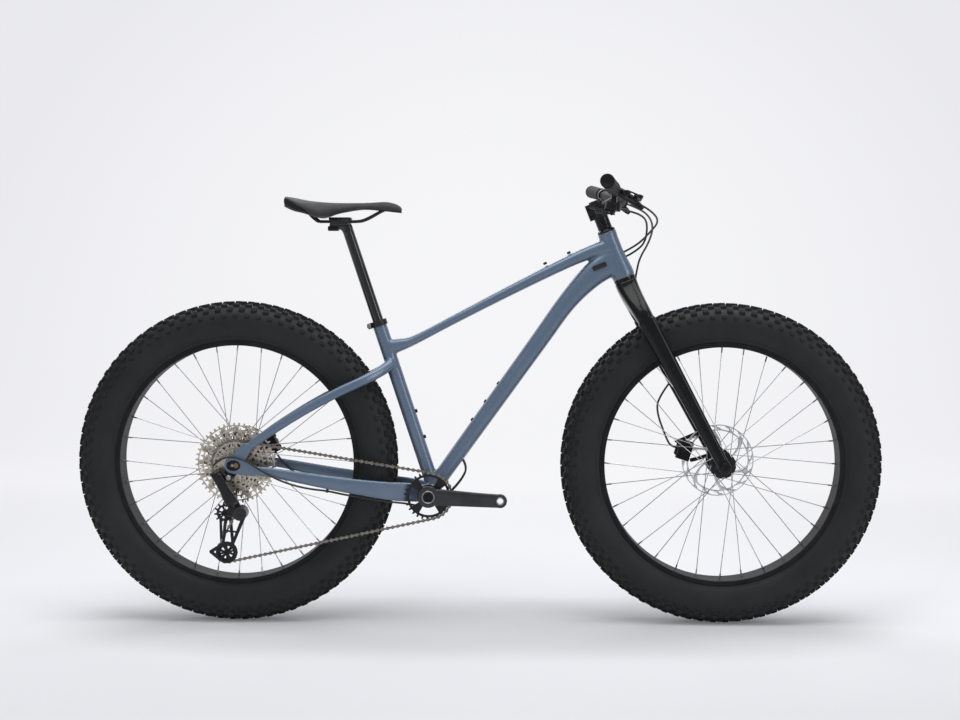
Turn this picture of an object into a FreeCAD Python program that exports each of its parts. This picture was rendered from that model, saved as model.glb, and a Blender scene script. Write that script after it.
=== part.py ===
import FreeCAD, Part
import math
import os

V = FreeCAD.Vector
os.makedirs("parts", exist_ok=True)

# Rigid fat tyre bicycle. Millimetres and degrees. +X is forward, +Y is the rider's left, +Z is up, and the
# origin is on the ground halfway between the axles. The drive side is -Y.

# Frame geometry
tyre_radius = 396.0
tyre_gap = 398.0
wheelbase = 2 * tyre_radius + tyre_gap
bb_drop = 77.0
chainstay_gap = 83.0
chainstay_length = tyre_radius + chainstay_gap
head_angle = 68.5
fork_offset = 57.0
crown_gap = 109.0
fork_length = tyre_radius + crown_gap
lower_stack = 8.0
head_tube_length = 119.0
seat_angle = 71.5
seat_tube_offset = 13.5
seat_tube_length = 442.0

# Clearances
running_gap = 0.05
part_gap = 0.3

# Frame tubes
tube_wall = 2.2
head_top_radius = 23.0
head_bottom_radius = 28.0
seat_tube_radius = 17.45
bb_shell_radius = 22.0
bb_shell_width = 100.0
dropout_thickness = 10.0
hanger_thickness = 3.5

# Steering
steerer_top_radius = 14.3
steerer_bottom_radius = 19.9
bearing_height = 7.0
bearing_wall = 5.8
cover_height = 9.0
spacer_height = 9.8
spacer_count = 3
spacer_radius = 17.5
stem_height = 40.0
stem_length = 55.0
bar_clamp_radius = 15.9
bar_end_radius = 11.1
bar_width = 780.0
bar_rise = 12.0
bar_backsweep = 9.0
bar_upsweep = 5.0
grip_length = 130.0
grip_radius = 16.5

# Seat
seatpost_radius = 13.6
seatpost_exposed = 242.0
seatpost_inserted = 120.0
saddle_length = 286.0
saddle_width = 142.0
rail_radius = 3.5
rail_half_gap = 22.0

# Wheels
tyre_width = 112.0
tyre_wall = 2.2
tread_depth = 3.5
tyre_height = 109.0
rim_inner_radius = tyre_radius - tyre_height
rim_width = 80.0
rim_wall = 2.5
rim_flange = 11.5
spokes_per_flange = 16
spoke_cross = 3
spoke_radius = 1.0
nipple_radius = 2.1
nipple_length = 14.0
flange_thickness = 3.6
front_hub_width = 150.0
rear_hub_width = 197.0
front_axle_radius = 7.5
rear_axle_radius = 6.0
front_rotor_radius = 90.0
rear_rotor_radius = 80.0
rotor_thickness = 1.8
rotor_inset = 15.4
pad_gap = 0.4
pad_thickness = 3.6

# Drivetrain
chain_pitch = 12.7
roller_radius = 3.85
roller_half_width = 1.15
chain_half_width = 2.6
chain_half_height = 3.9
tooth_height = 2.3
cog_teeth = (10, 12, 14, 16, 18, 20, 23, 28, 32, 36, 42, 48)
cog_in_use = 7
cog_spacing = 3.65
cog_thickness = 1.6
first_cog_inset = 6.5
freehub_radius = 12.5
ring_teeth = 28
ring_thickness = 1.8
pulley_teeth = 12
pulley_thickness = 1.8
crank_length = 175.0
crank_angle = -2.0
spindle_radius = 12.0
pedal_thread_radius = 7.14
pedal_boss_radius = 16.7
q_half = 112.0


def rad(angle):
    return math.radians(angle)


def unit(v):
    return v * (1.0 / v.Length)


def mix(a, b, t):
    return a + (b - a) * t


def rod(a, b, radius):
    """Round bar from point a to point b."""
    return Part.makeCylinder(radius, (b - a).Length, a, b - a)


def pipe(a, b, outer, inner):
    """Round tube from point a to point b."""
    return rod(a, b, outer).cut(rod(a, b, inner))


def section(centre, along, half_side, half_up, power=2.0):
    """Closed smooth outline square to a direction; a power above 2 squares off its corners."""
    along = unit(along)
    side = unit(V(0, 1, 0) - along * along.y)
    up = side.cross(along)
    points = []
    for k in range(12):
        c = math.cos(math.pi * k / 6)
        s = math.sin(math.pi * k / 6)
        across = math.copysign(abs(c) ** (2 / power), c) * half_side
        rise = math.copysign(abs(s) ** (2 / power), s) * half_up
        points.append(centre + side * across + up * rise)
    curve = Part.BSplineCurve()
    curve.interpolate(Points=points, PeriodicFlag=True)
    return Part.Wire(curve.toShape())


def limb(stations, power=2.0, shrink=0.0):
    """Tapered curved tube through stations of (centre, half width sideways, half height)."""
    wires = []
    last = len(stations) - 1
    for k, (centre, half_side, half_up) in enumerate(stations):
        along = stations[min(k + 1, last)][0] - stations[max(k - 1, 0)][0]
        wires.append(section(centre, along, half_side - shrink, half_up - shrink, power))
    return Part.makeLoft(wires, True, False)


def turned(profile, centre, axis):
    """Solid of revolution from (distance along the axis, radius) points, made about Y and then placed."""
    wire = Part.makePolygon([V(r, y, 0) for y, r in profile] + [V(profile[0][1], profile[0][0], 0)])
    solid = Part.Face(wire).revolve(V(0, 0, 0), V(0, 1, 0), 360)
    solid.Placement = FreeCAD.Placement(centre, FreeCAD.Rotation(V(0, 1, 0), axis))
    return solid


def plate(circles, y_low, y_high):
    """Flat plate along Y, hugging a fan of circles (x, z, radius) round the first of them."""
    first = circles[0]
    shape = Part.makeCylinder(first[2], y_high - y_low, V(first[0], y_low, first[1]), V(0, 1, 0))
    for other in circles[1:]:
        shape = shape.fuse(link_plate(first, other, y_low, y_high))
    return shape.removeSplitter()


def link_plate(a, b, y_low, y_high):
    """Flat plate along Y with two round ends, drawn by the outer tangents of circles (x, z, radius)."""
    start = V(a[0], 0, a[1])
    end = V(b[0], 0, b[1])
    reach = end - start
    lean = math.acos((a[2] - b[2]) / reach.Length)
    along = unit(reach)
    across = V(-along.z, 0, along.x)
    corners = []
    for centre, radius, sign in ((start, a[2], 1), (end, b[2], 1), (end, b[2], -1), (start, a[2], -1)):
        corners.append(centre + along * (radius * math.cos(lean)) + across * (sign * radius * math.sin(lean)))
    edges = [
        Part.LineSegment(corners[0], corners[1]).toShape(),
        Part.Arc(corners[1], end + along * b[2], corners[2]).toShape(),
        Part.LineSegment(corners[2], corners[3]).toShape(),
        Part.Arc(corners[3], start - along * a[2], corners[0]).toShape(),
    ]
    face = Part.Face(Part.Wire(edges))
    face.translate(V(0, y_low, 0))
    return face.extrude(V(0, y_high - y_low, 0))


def block(corner, size, centre, radial, y_axis=V(0, 1, 0)):
    """Box in a local frame: radial, Y and the tangent that completes them, measured from a centre."""
    tangent = radial.cross(y_axis)
    box = Part.makeBox(size[0], size[1], size[2], V(*corner))
    turn = FreeCAD.Matrix(
        radial.x, y_axis.x, tangent.x, centre.x,
        radial.y, y_axis.y, tangent.y, centre.y,
        radial.z, y_axis.z, tangent.z, centre.z,
    )
    return box.transformGeometry(turn)


def cord(name, points, radius):
    """Hose or cable housing: straight runs joined by tangent arcs as large as the runs allow."""
    edges = []
    here = points[0]
    length = 0.0
    radii = []
    for k in range(1, len(points) - 1):
        before = points[k] - points[k - 1]
        after = points[k + 1] - points[k]
        turn = before.getAngle(after)
        trim = 0.45 * min(before.Length, after.Length)
        bend = trim / math.tan(turn / 2)
        radii.append(bend)
        arc_start = points[k] - unit(before) * trim
        arc_end = points[k] + unit(after) * trim
        inward = unit(unit(after) - unit(before))
        crown = points[k] + inward * (bend / math.cos(turn / 2) - bend)
        edges.append(Part.LineSegment(here, arc_start).toShape())
        edges.append(Part.Arc(arc_start, crown, arc_end).toShape())
        length += (arc_start - here).Length + bend * turn
        here = arc_end
    edges.append(Part.LineSegment(here, points[-1]).toShape())
    length += (points[-1] - here).Length
    path = Part.Wire(edges)
    profile = Part.Wire(Part.Circle(points[0], points[1] - points[0], radius).toShape())
    tube = path.makePipeShell([profile], True, True)
    share = tube.Volume / (math.pi * radius**2 * length)
    print(f"{name}: {length:.0f} mm, least radius {min(radii):.0f} mm, volume share {share:.3f}")
    return tube


def mirrored(shape):
    return shape.mirror(V(0, 0, 0), V(0, 1, 0))


def save(node, *shapes):
    """Write one node; several shapes become a group of separate solids."""
    solids = []
    for shape in shapes:
        solids.extend(shape.Solids)
    shape = solids[0] if len(solids) == 1 else Part.makeCompound(solids)
    if not shape.isValid():
        print("not valid:", node)
    shape.exportStep(f"parts/{node}.step")


# Main points of the frame, in the middle plane
rear_axle = V(-wheelbase / 2, 0, tyre_radius)
front_axle = V(wheelbase / 2, 0, tyre_radius)
bb = rear_axle + V(math.sqrt(chainstay_length**2 - bb_drop**2), 0, -bb_drop)
steer_up = V(-math.cos(rad(head_angle)), 0, math.sin(rad(head_angle)))
steer_forward = V(math.sin(rad(head_angle)), 0, math.cos(rad(head_angle)))
steer_foot = front_axle - steer_forward * fork_offset
seat_up = V(-math.cos(rad(seat_angle)), 0, math.sin(rad(seat_angle)))
seat_foot = bb + V(math.sin(rad(seat_angle)), 0, math.cos(rad(seat_angle))) * seat_tube_offset
seat_top = seat_foot + seat_up * seat_tube_length
crown_race = steer_foot + steer_up * fork_length
head_bottom = crown_race + steer_up * lower_stack
head_top = head_bottom + steer_up * head_tube_length
left = V(0, 1, 0)

# Head tube, a tapered shell with a bearing seat at each end
upper_seat_radius = steerer_top_radius + running_gap + bearing_wall
lower_seat_radius = steerer_bottom_radius + running_gap + bearing_wall
head_waist_radius = head_top_radius - 1.0
collar_height = 12.0
head_outline = [
    (0, head_bottom_radius),
    (collar_height, head_bottom_radius),
    (head_tube_length * 0.55, head_waist_radius),
    (head_tube_length - collar_height, head_waist_radius),
    (head_tube_length - collar_height, head_top_radius),
    (head_tube_length, head_top_radius),
]
head_core = turned([(0, 0)] + head_outline + [(head_tube_length, 0)], head_bottom, steer_up)
seat_ledge = 1.5
head_bore = turned(
    [
        (0, 0),
        (0, lower_seat_radius),
        (bearing_height + seat_ledge, lower_seat_radius),
        (bearing_height + seat_ledge, lower_seat_radius - seat_ledge),
        (head_tube_length - bearing_height - seat_ledge, head_waist_radius - tube_wall),
        (head_tube_length - bearing_height - seat_ledge, upper_seat_radius),
        (head_tube_length, upper_seat_radius),
        (head_tube_length, 0),
    ],
    head_bottom,
    steer_up,
)
save("head_tube", head_core.cut(head_bore))

# Headset and bottom bracket bearings, each a sealed ring pressed into its seat
upper_bearing_base = head_top - steer_up * bearing_height
headset_upper = pipe(upper_bearing_base, head_top, upper_seat_radius, steerer_top_radius + running_gap)
headset_lower = pipe(head_bottom, head_bottom + steer_up * bearing_height, lower_seat_radius,
                     steerer_bottom_radius + running_gap)
cup_lip = 10.5
cup_depth = 16.0
cup_radius = bb_shell_radius - 0.5
bb_bore_radius = bb_shell_radius - 4.5
shell_end = bb_shell_width / 2
cup = turned(
    [
        (shell_end - cup_depth, spindle_radius + running_gap),
        (shell_end - cup_depth, bb_bore_radius),
        (shell_end, bb_bore_radius),
        (shell_end, cup_radius),
        (shell_end + cup_lip, cup_radius),
        (shell_end + cup_lip, spindle_radius + running_gap),
    ],
    bb,
    left,
)
save("bearings", headset_upper, headset_lower, cup, mirrored(cup))

# Bottom bracket shell and seat tube
shell_core = rod(bb - left * shell_end, bb + left * shell_end, bb_shell_radius)
shell_bore = rod(bb - left * bb_shell_width, bb + left * bb_shell_width, bb_bore_radius)
save("bottom_bracket_shell", shell_core.cut(shell_bore))
seat_core = rod(seat_foot, seat_top, seat_tube_radius).cut(shell_core)
seat_bore_radius = seatpost_radius + running_gap
save("seat_tube", seat_core.cut(rod(seat_foot, seat_top + seat_up, seat_bore_radius)))

# Down tube: straight from the bottom bracket to a knee, then swelling into the head tube
down_knee_back = 121.0
down_knee_below = 107.0
down_joint = mix(head_bottom, head_top, 0.42)
down_knee = down_joint + V(-down_knee_back, 0, -down_knee_below)
down_bend = mix(down_knee, down_joint, 0.55) + V(-4, 0, 3)
down_stations = [
    (bb, 36.0, 19.5),
    (mix(bb, down_knee, 0.12), 29.0, 19.5),
    (mix(bb, down_knee, 0.4), 25.0, 20.5),
    (mix(bb, down_knee, 0.8), 24.5, 22.0),
    (down_knee, 24.5, 23.5),
    (down_bend, 24.0, 29.0),
    (down_joint, 22.0, 36.0),
]
down_core = limb(down_stations, 2.6)
down_tube = down_core.cut(limb(down_stations, 2.6, tube_wall)).cut(shell_core)
save("down_tube", down_tube.cut(rod(seat_foot, seat_top, seat_tube_radius)).cut(head_core))

# Top tube: a flattened, slightly bowed tube that flares at both ends
top_joint_below = 66.0
top_rear = seat_top - seat_up * top_joint_below
top_front = mix(head_bottom, head_top, 0.7)
top_stations = [
    (top_rear, 16.5, 20.0),
    (mix(top_rear, top_front, 0.06) + V(0, 0, -5), 16.5, 15.0),
    (mix(top_rear, top_front, 0.13) + V(0, 0, -9), 16.5, 10.5),
    (mix(top_rear, top_front, 0.3) + V(0, 0, -3), 17.5, 10.5),
    (mix(top_rear, top_front, 0.55) + V(0, 0, 5), 19.0, 12.5),
    (mix(top_rear, top_front, 0.8) + V(0, 0, 10), 20.5, 15.0),
    (mix(top_rear, top_front, 0.93) + V(0, 0, 7), 21.0, 17.5),
    (top_front, 21.0, 20.0),
]
top_core = limb(top_stations, 2.5)
top_tube = top_core.cut(limb(top_stations, 2.5, tube_wall))
for neighbour in (rod(seat_foot, seat_top, seat_tube_radius), head_core, down_core):
    top_tube = top_tube.cut(neighbour)
save("top_tube", max(top_tube.Solids, key=lambda s: s.Volume))

# Dropouts: a web round the axle that the two stays are welded to
hub_half = rear_hub_width / 2
axle_boss_radius = 20.0
chainstay_end = rear_axle + V(50, 0, -13)
seatstay_end = rear_axle + V(33, 0, 42)
brake_lug = rear_axle + V(74, 0, 36)
web_rear = (rear_axle.x, rear_axle.z, axle_boss_radius)
web_circles = [web_rear, (chainstay_end.x, chainstay_end.z, 13.0), (seatstay_end.x, seatstay_end.z, 12.0)]
rear_axle_hole = rod(rear_axle - left * wheelbase / 4, rear_axle + left * wheelbase / 4,
                     rear_axle_radius + running_gap)
drive_dropout = plate(web_circles, -hub_half - dropout_thickness, -hub_half - hanger_thickness)
far_dropout = plate(web_circles + [(brake_lug.x, brake_lug.z, 12.0)], hub_half, hub_half + dropout_thickness)
save("dropouts", drive_dropout.cut(rear_axle_hole), far_dropout.cut(rear_axle_hole))

# Chainstays and seatstays, bowed outwards past the tyre and welded to the dropouts, shell and seat tube
stay_y = hub_half + dropout_thickness / 2
chainstay_run = bb - chainstay_end
chainstay_stations = [
    (chainstay_end + V(-6, stay_y - 1, 1), 5.0, 11.5),
    (chainstay_end + chainstay_run * 0.12 + V(0, stay_y - 3, 2), 6.5, 12.5),
    (chainstay_end + chainstay_run * 0.42 + V(0, stay_y - 12, -2), 7.5, 16.5),
    (chainstay_end + chainstay_run * 0.62 + V(0, stay_y - 23, -3), 7.5, 20.0),
    (chainstay_end + chainstay_run * 0.76 + V(0, stay_y - 34.5, -3), 7.0, 22.5),
    (chainstay_end + chainstay_run * 0.87 + V(0, stay_y - 50, -1), 7.0, 23.5),
    (chainstay_end + chainstay_run * 0.97 + V(0, stay_y - 68, 1), 8.0, 22.0),
]
far_chainstay = limb(chainstay_stations, 3.0).cut(limb(chainstay_stations, 3.0, tube_wall))
far_chainstay = far_chainstay.cut(shell_core)
seatstay_head = seat_top - seat_up * 108
seatstay_run = seatstay_head - seatstay_end
seatstay_stations = [
    (seatstay_end + V(-4, stay_y - 1, -5), 5.0, 9.5),
    (seatstay_end + seatstay_run * 0.12 + V(0, stay_y - 3, 5), 6.5, 11.0),
    (seatstay_end + seatstay_run * 0.38 + V(0, stay_y - 10, 10), 7.0, 11.5),
    (seatstay_end + seatstay_run * 0.62 + V(0, stay_y - 22, 7), 7.5, 11.8),
    (seatstay_end + seatstay_run * 0.79 + V(0, stay_y - 35, 0), 8.0, 12.0),
    (seatstay_end + seatstay_run * 0.91 + V(0, stay_y - 60, -4), 9.0, 12.5),
    (seatstay_head + V(0, stay_y - 90, 0), 10.0, 14.0),
]
far_seatstay = limb(seatstay_stations, 2.4).cut(limb(seatstay_stations, 2.4, tube_wall))
far_seatstay = far_seatstay.cut(rod(seat_foot, seat_top, seat_tube_radius))
far_stays = (far_chainstay, far_seatstay)
stays = [stay.cut(far_dropout) for stay in far_stays]
stays += [mirrored(stay).cut(drive_dropout) for stay in far_stays]
save("rear_stays", *[max(stay.Solids, key=lambda s: s.Volume) for stay in stays])

# Derailleur hanger, inside the drive-side dropout, reaching down and back to the derailleur bolt
hanger_bolt = rear_axle + V(-9, 0, -29)
hanger_bolt_radius = 5.0
hanger_face = -hub_half - hanger_thickness
hanger = link_plate(web_rear, (hanger_bolt.x, hanger_bolt.z, 10.0), hanger_face, -hub_half)
hanger = hanger.cut(rear_axle_hole)
hanger_hole = rod(hanger_bolt + V(0, 2 * hanger_face, 0), hanger_bolt, hanger_bolt_radius)
save("derailleur_hanger", hanger.cut(hanger_hole))

# Rear thru-axle, from flush with the drive-side dropout to a head outside the other one
axle_head_height = 5.0
rear_axle_far = hub_half + dropout_thickness
rear_thru_axle = rod(rear_axle - left * rear_axle_far, rear_axle + left * rear_axle_far, rear_axle_radius)
rear_head = rod(rear_axle + left * rear_axle_far, rear_axle + left * (rear_axle_far + axle_head_height),
                rear_axle_radius + 4)
save("rear_thru_axle", rear_thru_axle.fuse(rear_head).removeSplitter())

# Seat collar with its pinch lugs
seat_collar_height = 14.0
seat_collar_wall = 3.2
collar_base = seat_top - seat_up * (seat_collar_height - 2)
collar_top = collar_base + seat_up * seat_collar_height
collar_radius = seat_tube_radius + seat_collar_wall
lug_reach = 8.0
lug_half = 7.0
seat_back = V(-math.sin(rad(seat_angle)), 0, -math.cos(rad(seat_angle)))
collar_lug = block((seat_tube_radius, -lug_half, -seat_collar_height / 2),
                   (seat_collar_wall + lug_reach, 2 * lug_half, seat_collar_height),
                   mix(collar_base, collar_top, 0.5), seat_back)
collar_slot = block((seatpost_radius, -1, -seat_collar_height), (40, 2, 2 * seat_collar_height),
                    mix(collar_base, collar_top, 0.5), seat_back)
seat_collar = rod(collar_base, collar_top, collar_radius).fuse(collar_lug).cut(seat_core)
seat_collar = seat_collar.cut(rod(collar_base, collar_top + seat_up, seatpost_radius + 1)).cut(collar_slot)
collar_bolt_at = mix(collar_base, collar_top, 0.5) + seat_back * (collar_radius + lug_reach / 2)
collar_bolt = rod(collar_bolt_at - left * (lug_half + 3), collar_bolt_at + left * (lug_half + 2), 2.5)
save("seat_collar", max(seat_collar.cut(collar_bolt).Solids, key=lambda s: s.Volume))

# Boss bolts on the tubes, the collar bolt, and the cable port covers on the down tube's sides
boss_radius = 4.6
boss_proud = 5.0
down_along = unit(down_knee - bb)
down_up = V(-down_along.z, 0, down_along.x)
top_along = unit(top_front - top_rear)
top_up = V(-top_along.z, 0, top_along.x)


def boss_bolt(start, direction, half_height, tube):
    bolt = rod(start, start + direction * (half_height + boss_proud), boss_radius)
    return max(bolt.cut(tube).Solids, key=lambda s: s.Volume)


down_bolt_spots = (0.36, 0.455, 0.55)
top_bolt_spots = (0.725, 0.83)
seat_bolt_heights = (136.0, 203.0)
fittings = [collar_bolt]
for spot in down_bolt_spots:
    fittings.append(boss_bolt(mix(bb, down_knee, spot) + down_up * 10, down_up, 13.0, down_core))
for spot in top_bolt_spots:
    fittings.append(boss_bolt(mix(top_rear, top_front, spot) + top_up * 6, top_up, 19.0, top_core))
for height in seat_bolt_heights:
    fittings.append(boss_bolt(seat_foot + seat_up * height, -seat_back, seat_tube_radius, seat_core))
port_at = mix(down_knee, down_joint, 0.66) + V(-2, 0, 17)
port_along = unit(down_joint - down_knee)
for sign in (1, -1):
    cover = limb([(port_at - port_along * 15 + left * sign * 12, 14.0, 5.0),
                  (port_at + left * sign * 12, 14.5, 6.5),
                  (port_at + port_along * 15 + left * sign * 12, 14.0, 5.0)], 2.5)
    cover = cover.cut(down_core)
    fittings.append(max(cover.Solids, key=lambda s: s.Volume))
save("frame_fittings", *fittings)

# Fork: an arched crown and two straight blades raked forward, with the axle through their tips
fork_half = front_hub_width / 2
blade_thickness = 26.0
arch_gap = 11.0
arch_half = tyre_width / 2 + arch_gap
blade_top = crown_race - steer_up * 30
blade_along = unit(front_axle - blade_top)
blade_length = (front_axle - blade_top).Length
crown_spread = blade_top + blade_along * 75
crown_stations = [
    (crown_race, 27.5, 27.0),
    (mix(crown_race, blade_top, 0.7), 38.0, 26.0),
    (blade_top + blade_along * 22, 66.0, 24.5),
    (blade_top + blade_along * 48, 86.0, 23.5),
    (crown_spread, arch_half + blade_thickness, 22.5),
]
crown = limb(crown_stations, 4.0)
blade_y = arch_half + blade_thickness / 2
tip_y = fork_half + blade_thickness / 2
blade_stations = [
    (crown_spread + left * blade_y, blade_thickness / 2, 22.5),
    (mix(crown_spread, front_axle, 0.35) + left * mix(V(blade_y), V(tip_y), 0.35).x, blade_thickness / 2, 19.5),
    (mix(crown_spread, front_axle, 0.75) + left * mix(V(blade_y), V(tip_y), 0.75).x, 11.5, 16.5),
    (front_axle - blade_along * 4 + left * (tip_y - 1), 11.0, 15.0),
]
blade = limb(blade_stations, 3.0)
tip_boss = rod(front_axle + left * fork_half, front_axle + left * (fork_half + blade_thickness - 2), 16.5)
crown_front = blade_along.cross(left)
arch_centre = blade_top + blade_along * (arch_half + 38)
arch = rod(arch_centre - crown_front * 80, arch_centre + crown_front * 80, arch_half)
arch = arch.fuse(block((-80, -arch_half, -blade_length), (160, 2 * arch_half, blade_length), arch_centre,
                       crown_front))
inner_slot = rod(front_axle - left * fork_half, front_axle + left * fork_half, 60)
fork = crown.cut(arch).fuse([blade.cut(inner_slot), mirrored(blade.cut(inner_slot)), tip_boss, mirrored(tip_boss)])
front_axle_hole = rod(front_axle - left * wheelbase / 4, front_axle + left * wheelbase / 4,
                      front_axle_radius + running_gap)
steerer_top = head_top + steer_up * (cover_height + spacer_count * spacer_height + stem_height - 3)
taper_start = head_bottom + steer_up * (bearing_height + 8)
taper_end = head_bottom + steer_up * (head_tube_length * 0.7)
steerer = turned(
    [
        (0, steerer_bottom_radius - 4),
        (0, steerer_bottom_radius),
        ((taper_start - crown_race).Length, steerer_bottom_radius),
        ((taper_end - crown_race).Length, steerer_top_radius),
        ((steerer_top - crown_race).Length, steerer_top_radius),
        ((steerer_top - crown_race).Length, steerer_top_radius - 4),
        ((taper_end - crown_race).Length, steerer_top_radius - 4),
        ((taper_start - crown_race).Length, steerer_bottom_radius - 4),
    ],
    crown_race,
    steer_up,
)
fork = fork.removeSplitter().cut(front_axle_hole)
save("fork", fork, steerer.cut(fork))

# Crown race, top cover, spacers and top cap, stacked on the steerer
race_height = lower_stack - part_gap
race = pipe(crown_race, crown_race + steer_up * race_height, head_bottom_radius - 1, steerer_bottom_radius)
stack = [race.cut(fork)]
stack_base = head_top + steer_up * part_gap
cover_top = head_top + steer_up * cover_height
cover = turned(
    [
        (0, steerer_top_radius),
        (0, head_top_radius - 0.5),
        (cover_height * 0.4, head_top_radius - 0.5),
        (cover_height - part_gap, spacer_radius),
        (cover_height - part_gap, steerer_top_radius),
    ],
    stack_base,
    steer_up,
)
stack.append(cover)
for k in range(spacer_count):
    low = cover_top + steer_up * (k * spacer_height)
    stack.append(pipe(low, low + steer_up * spacer_height, spacer_radius, steerer_top_radius))
stem_base = cover_top + steer_up * (spacer_count * spacer_height)
stem_top = stem_base + steer_up * stem_height
cap_bolt = rod(stem_top - steer_up * 8, stem_top, 3.0)
top_cap = rod(stem_top, stem_top + steer_up * 4, spacer_radius - 1.5).fuse(cap_bolt)
stack.append(top_cap.removeSplitter())
save("headset_stack", *stack)

# Stem with a two-bolt steerer clamp, and the faceplate that holds the bar
stem_mid = mix(stem_base, stem_top, 0.5)
bar_centre = stem_mid + steer_forward * stem_length
stem_wall = 4.0
clamp_half = 23.0
stem_core = rod(stem_base, stem_top, steerer_top_radius + stem_wall)
stem_arm = limb([(stem_mid, 17.0, 17.0), (mix(stem_mid, bar_centre, 0.5), 16.0, 15.0),
                 (bar_centre - steer_forward * 6, clamp_half, 17.0)], 3.2)
bar_block = block((-13, -clamp_half, -19), (13, 2 * clamp_half, 38), bar_centre, steer_forward)
clamp_lug = block((-steerer_top_radius - 13, -9, -stem_height / 2), (20, 18, stem_height), stem_mid, steer_forward)
bar_hole = rod(bar_centre - left * 60, bar_centre + left * 60, bar_clamp_radius)
steerer_hole = rod(stem_base - steer_up, stem_top + steer_up, steerer_top_radius)
stem = stem_core.fuse([stem_arm, bar_block, clamp_lug]).removeSplitter()
face_half = 18.5
faceplate_gap = 1.2
faceplate = block((faceplate_gap, -clamp_half, -face_half), (18, 2 * clamp_half, 2 * face_half), bar_centre,
                  steer_forward)
faceplate = faceplate.common(rod(bar_centre - left * 60, bar_centre + left * 60, bar_clamp_radius + stem_wall + 1)
                             .fuse(block((0, -60, -40), (8, 120, 80), bar_centre, steer_forward)))
bolts = []
face_bolt_up = 17.8
face_bolt_radius = 2.0
for y in (-clamp_half + 6, clamp_half - 6):
    for up in (-face_bolt_up, face_bolt_up):
        spot = bar_centre + left * y + steer_up * up
        bolts.append(rod(spot - steer_forward * 8, spot + steer_forward * 11.5, face_bolt_radius))
for up in (-stem_height / 4, stem_height / 4):
    spot = stem_mid - steer_forward * (steerer_top_radius + 8.5) + steer_up * up
    bolts.append(rod(spot - left * 11, spot + left * 10.5, 2.5))
stem_slot = block((-60, -0.8, -stem_height), (60, 1.6, 2 * stem_height), stem_mid, steer_forward)
stem = stem.cut(bar_hole).cut(steerer_hole).cut(stem_slot)
faceplate = faceplate.cut(bar_hole)
for bolt in bolts:
    stem = stem.cut(bolt)
    faceplate = faceplate.cut(bolt)
save("stem", max(stem.cut(cap_bolt).Solids, key=lambda s: s.Volume))
save("stem_faceplate", max(faceplate.Solids, key=lambda s: s.Volume))

# Handlebar: a riser bar, thick at the stem, swept up and back to straight ends
bar_half = bar_width / 2
sweep_start = 118.0
end_run = bar_half - sweep_start
end_along = unit(V(-math.tan(rad(bar_backsweep)), 1, math.tan(rad(bar_upsweep))))
bend_end = bar_centre + V(-6, sweep_start, bar_rise)
bar_tip = bend_end + end_along * (end_run / end_along.y)
bar_stations = [
    (bar_centre, bar_clamp_radius),
    (bar_centre + V(0, 32, 0), bar_clamp_radius),
    (bar_centre + V(-1, 58, 3), bar_clamp_radius - 1),
    (bar_centre + V(-3, 88, bar_rise * 0.62), 13.2),
    (bend_end, bar_end_radius),
]
bar_aims = [left, left, unit(V(-1, 28, 5)), unit(V(-2, 30, 9)), end_along]
bar_wires = []
for (centre, radius), aim in zip(bar_stations, bar_aims):
    bar_wires.append(Part.Wire(Part.Circle(centre, aim, radius).toShape()))
bar_bend = Part.makeLoft(bar_wires[1:], True, False)
bar_side = rod(bar_centre, bar_stations[1][0], bar_clamp_radius).fuse([bar_bend, rod(bend_end, bar_tip, bar_end_radius)])
handlebar = bar_side.fuse(mirrored(bar_side)).removeSplitter()
save("handlebar", handlebar)

# Grips, closed by an end plug
grip_plug = 5.0
grip_base = bar_tip - end_along * grip_length
grip_tip = bar_tip + end_along * grip_plug
grip = rod(grip_base, grip_tip, grip_radius).cut(rod(grip_base, bar_tip, bar_end_radius))
save("grips", grip, mirrored(grip))

# Brake lever bodies and the shifter pod, clamped on the bar inboard of the grips
lever_clamp_gap = 12.0
lever_clamp_width = 15.0
lever_drop = 23.5
lever_forward = unit(V(math.cos(rad(lever_drop)), 0, -math.sin(rad(lever_drop))))
lever_forward = unit(lever_forward - end_along * lever_forward.dot(end_along))
lever_up = lever_forward.cross(end_along)
clamp_out = grip_base - end_along * lever_clamp_gap
clamp_in = clamp_out - end_along * lever_clamp_width
master_radius = 9.0
master_forward = 32.0
master_out = clamp_out + lever_forward * master_forward + end_along * 8
master_in = clamp_in + lever_forward * master_forward - end_along * 42
lever_body = pipe(clamp_in, clamp_out, bar_end_radius + 3.5, bar_end_radius)
lever_neck = block((bar_end_radius + 1, 0, -6), (master_forward - bar_end_radius, lever_clamp_width, 12), clamp_in,
                   lever_forward, end_along)
lever_body = lever_body.fuse([lever_neck, rod(master_in, master_out, master_radius)])
lever_body = lever_body.cut(rod(clamp_in - end_along * 10, clamp_out + end_along * 10, bar_end_radius))
pivot_forward = 56.0
pivot_centre = clamp_out + lever_forward * pivot_forward + end_along * 4
pivot_half = 6.5
ear_thickness = 3.0
pivot_pin_radius = 2.5
pivot_ear = block((0, -9, pivot_half + part_gap), (pivot_forward - master_forward + 6, 15, ear_thickness),
                  master_out - end_along * 4, lever_forward, end_along)
other_ear = block((0, -9, -pivot_half - part_gap - ear_thickness),
                  (pivot_forward - master_forward + 6, 15, ear_thickness), master_out - end_along * 4,
                  lever_forward, end_along)
pin_reach = lever_up * (pivot_half + part_gap + ear_thickness)
pivot_pin = rod(pivot_centre - pin_reach, pivot_centre + pin_reach, pivot_pin_radius)
lever_body = lever_body.fuse([pivot_ear, other_ear, pivot_pin]).removeSplitter()
shifter_gap = 18.0
shifter_out = clamp_in - end_along * shifter_gap
shifter_in = shifter_out - end_along * 14
pod_drop = 25.0
pod_down = unit(-lever_up + lever_forward * 0.25)
pod_height = 20.0
pod_front = pod_down.cross(end_along)
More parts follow.
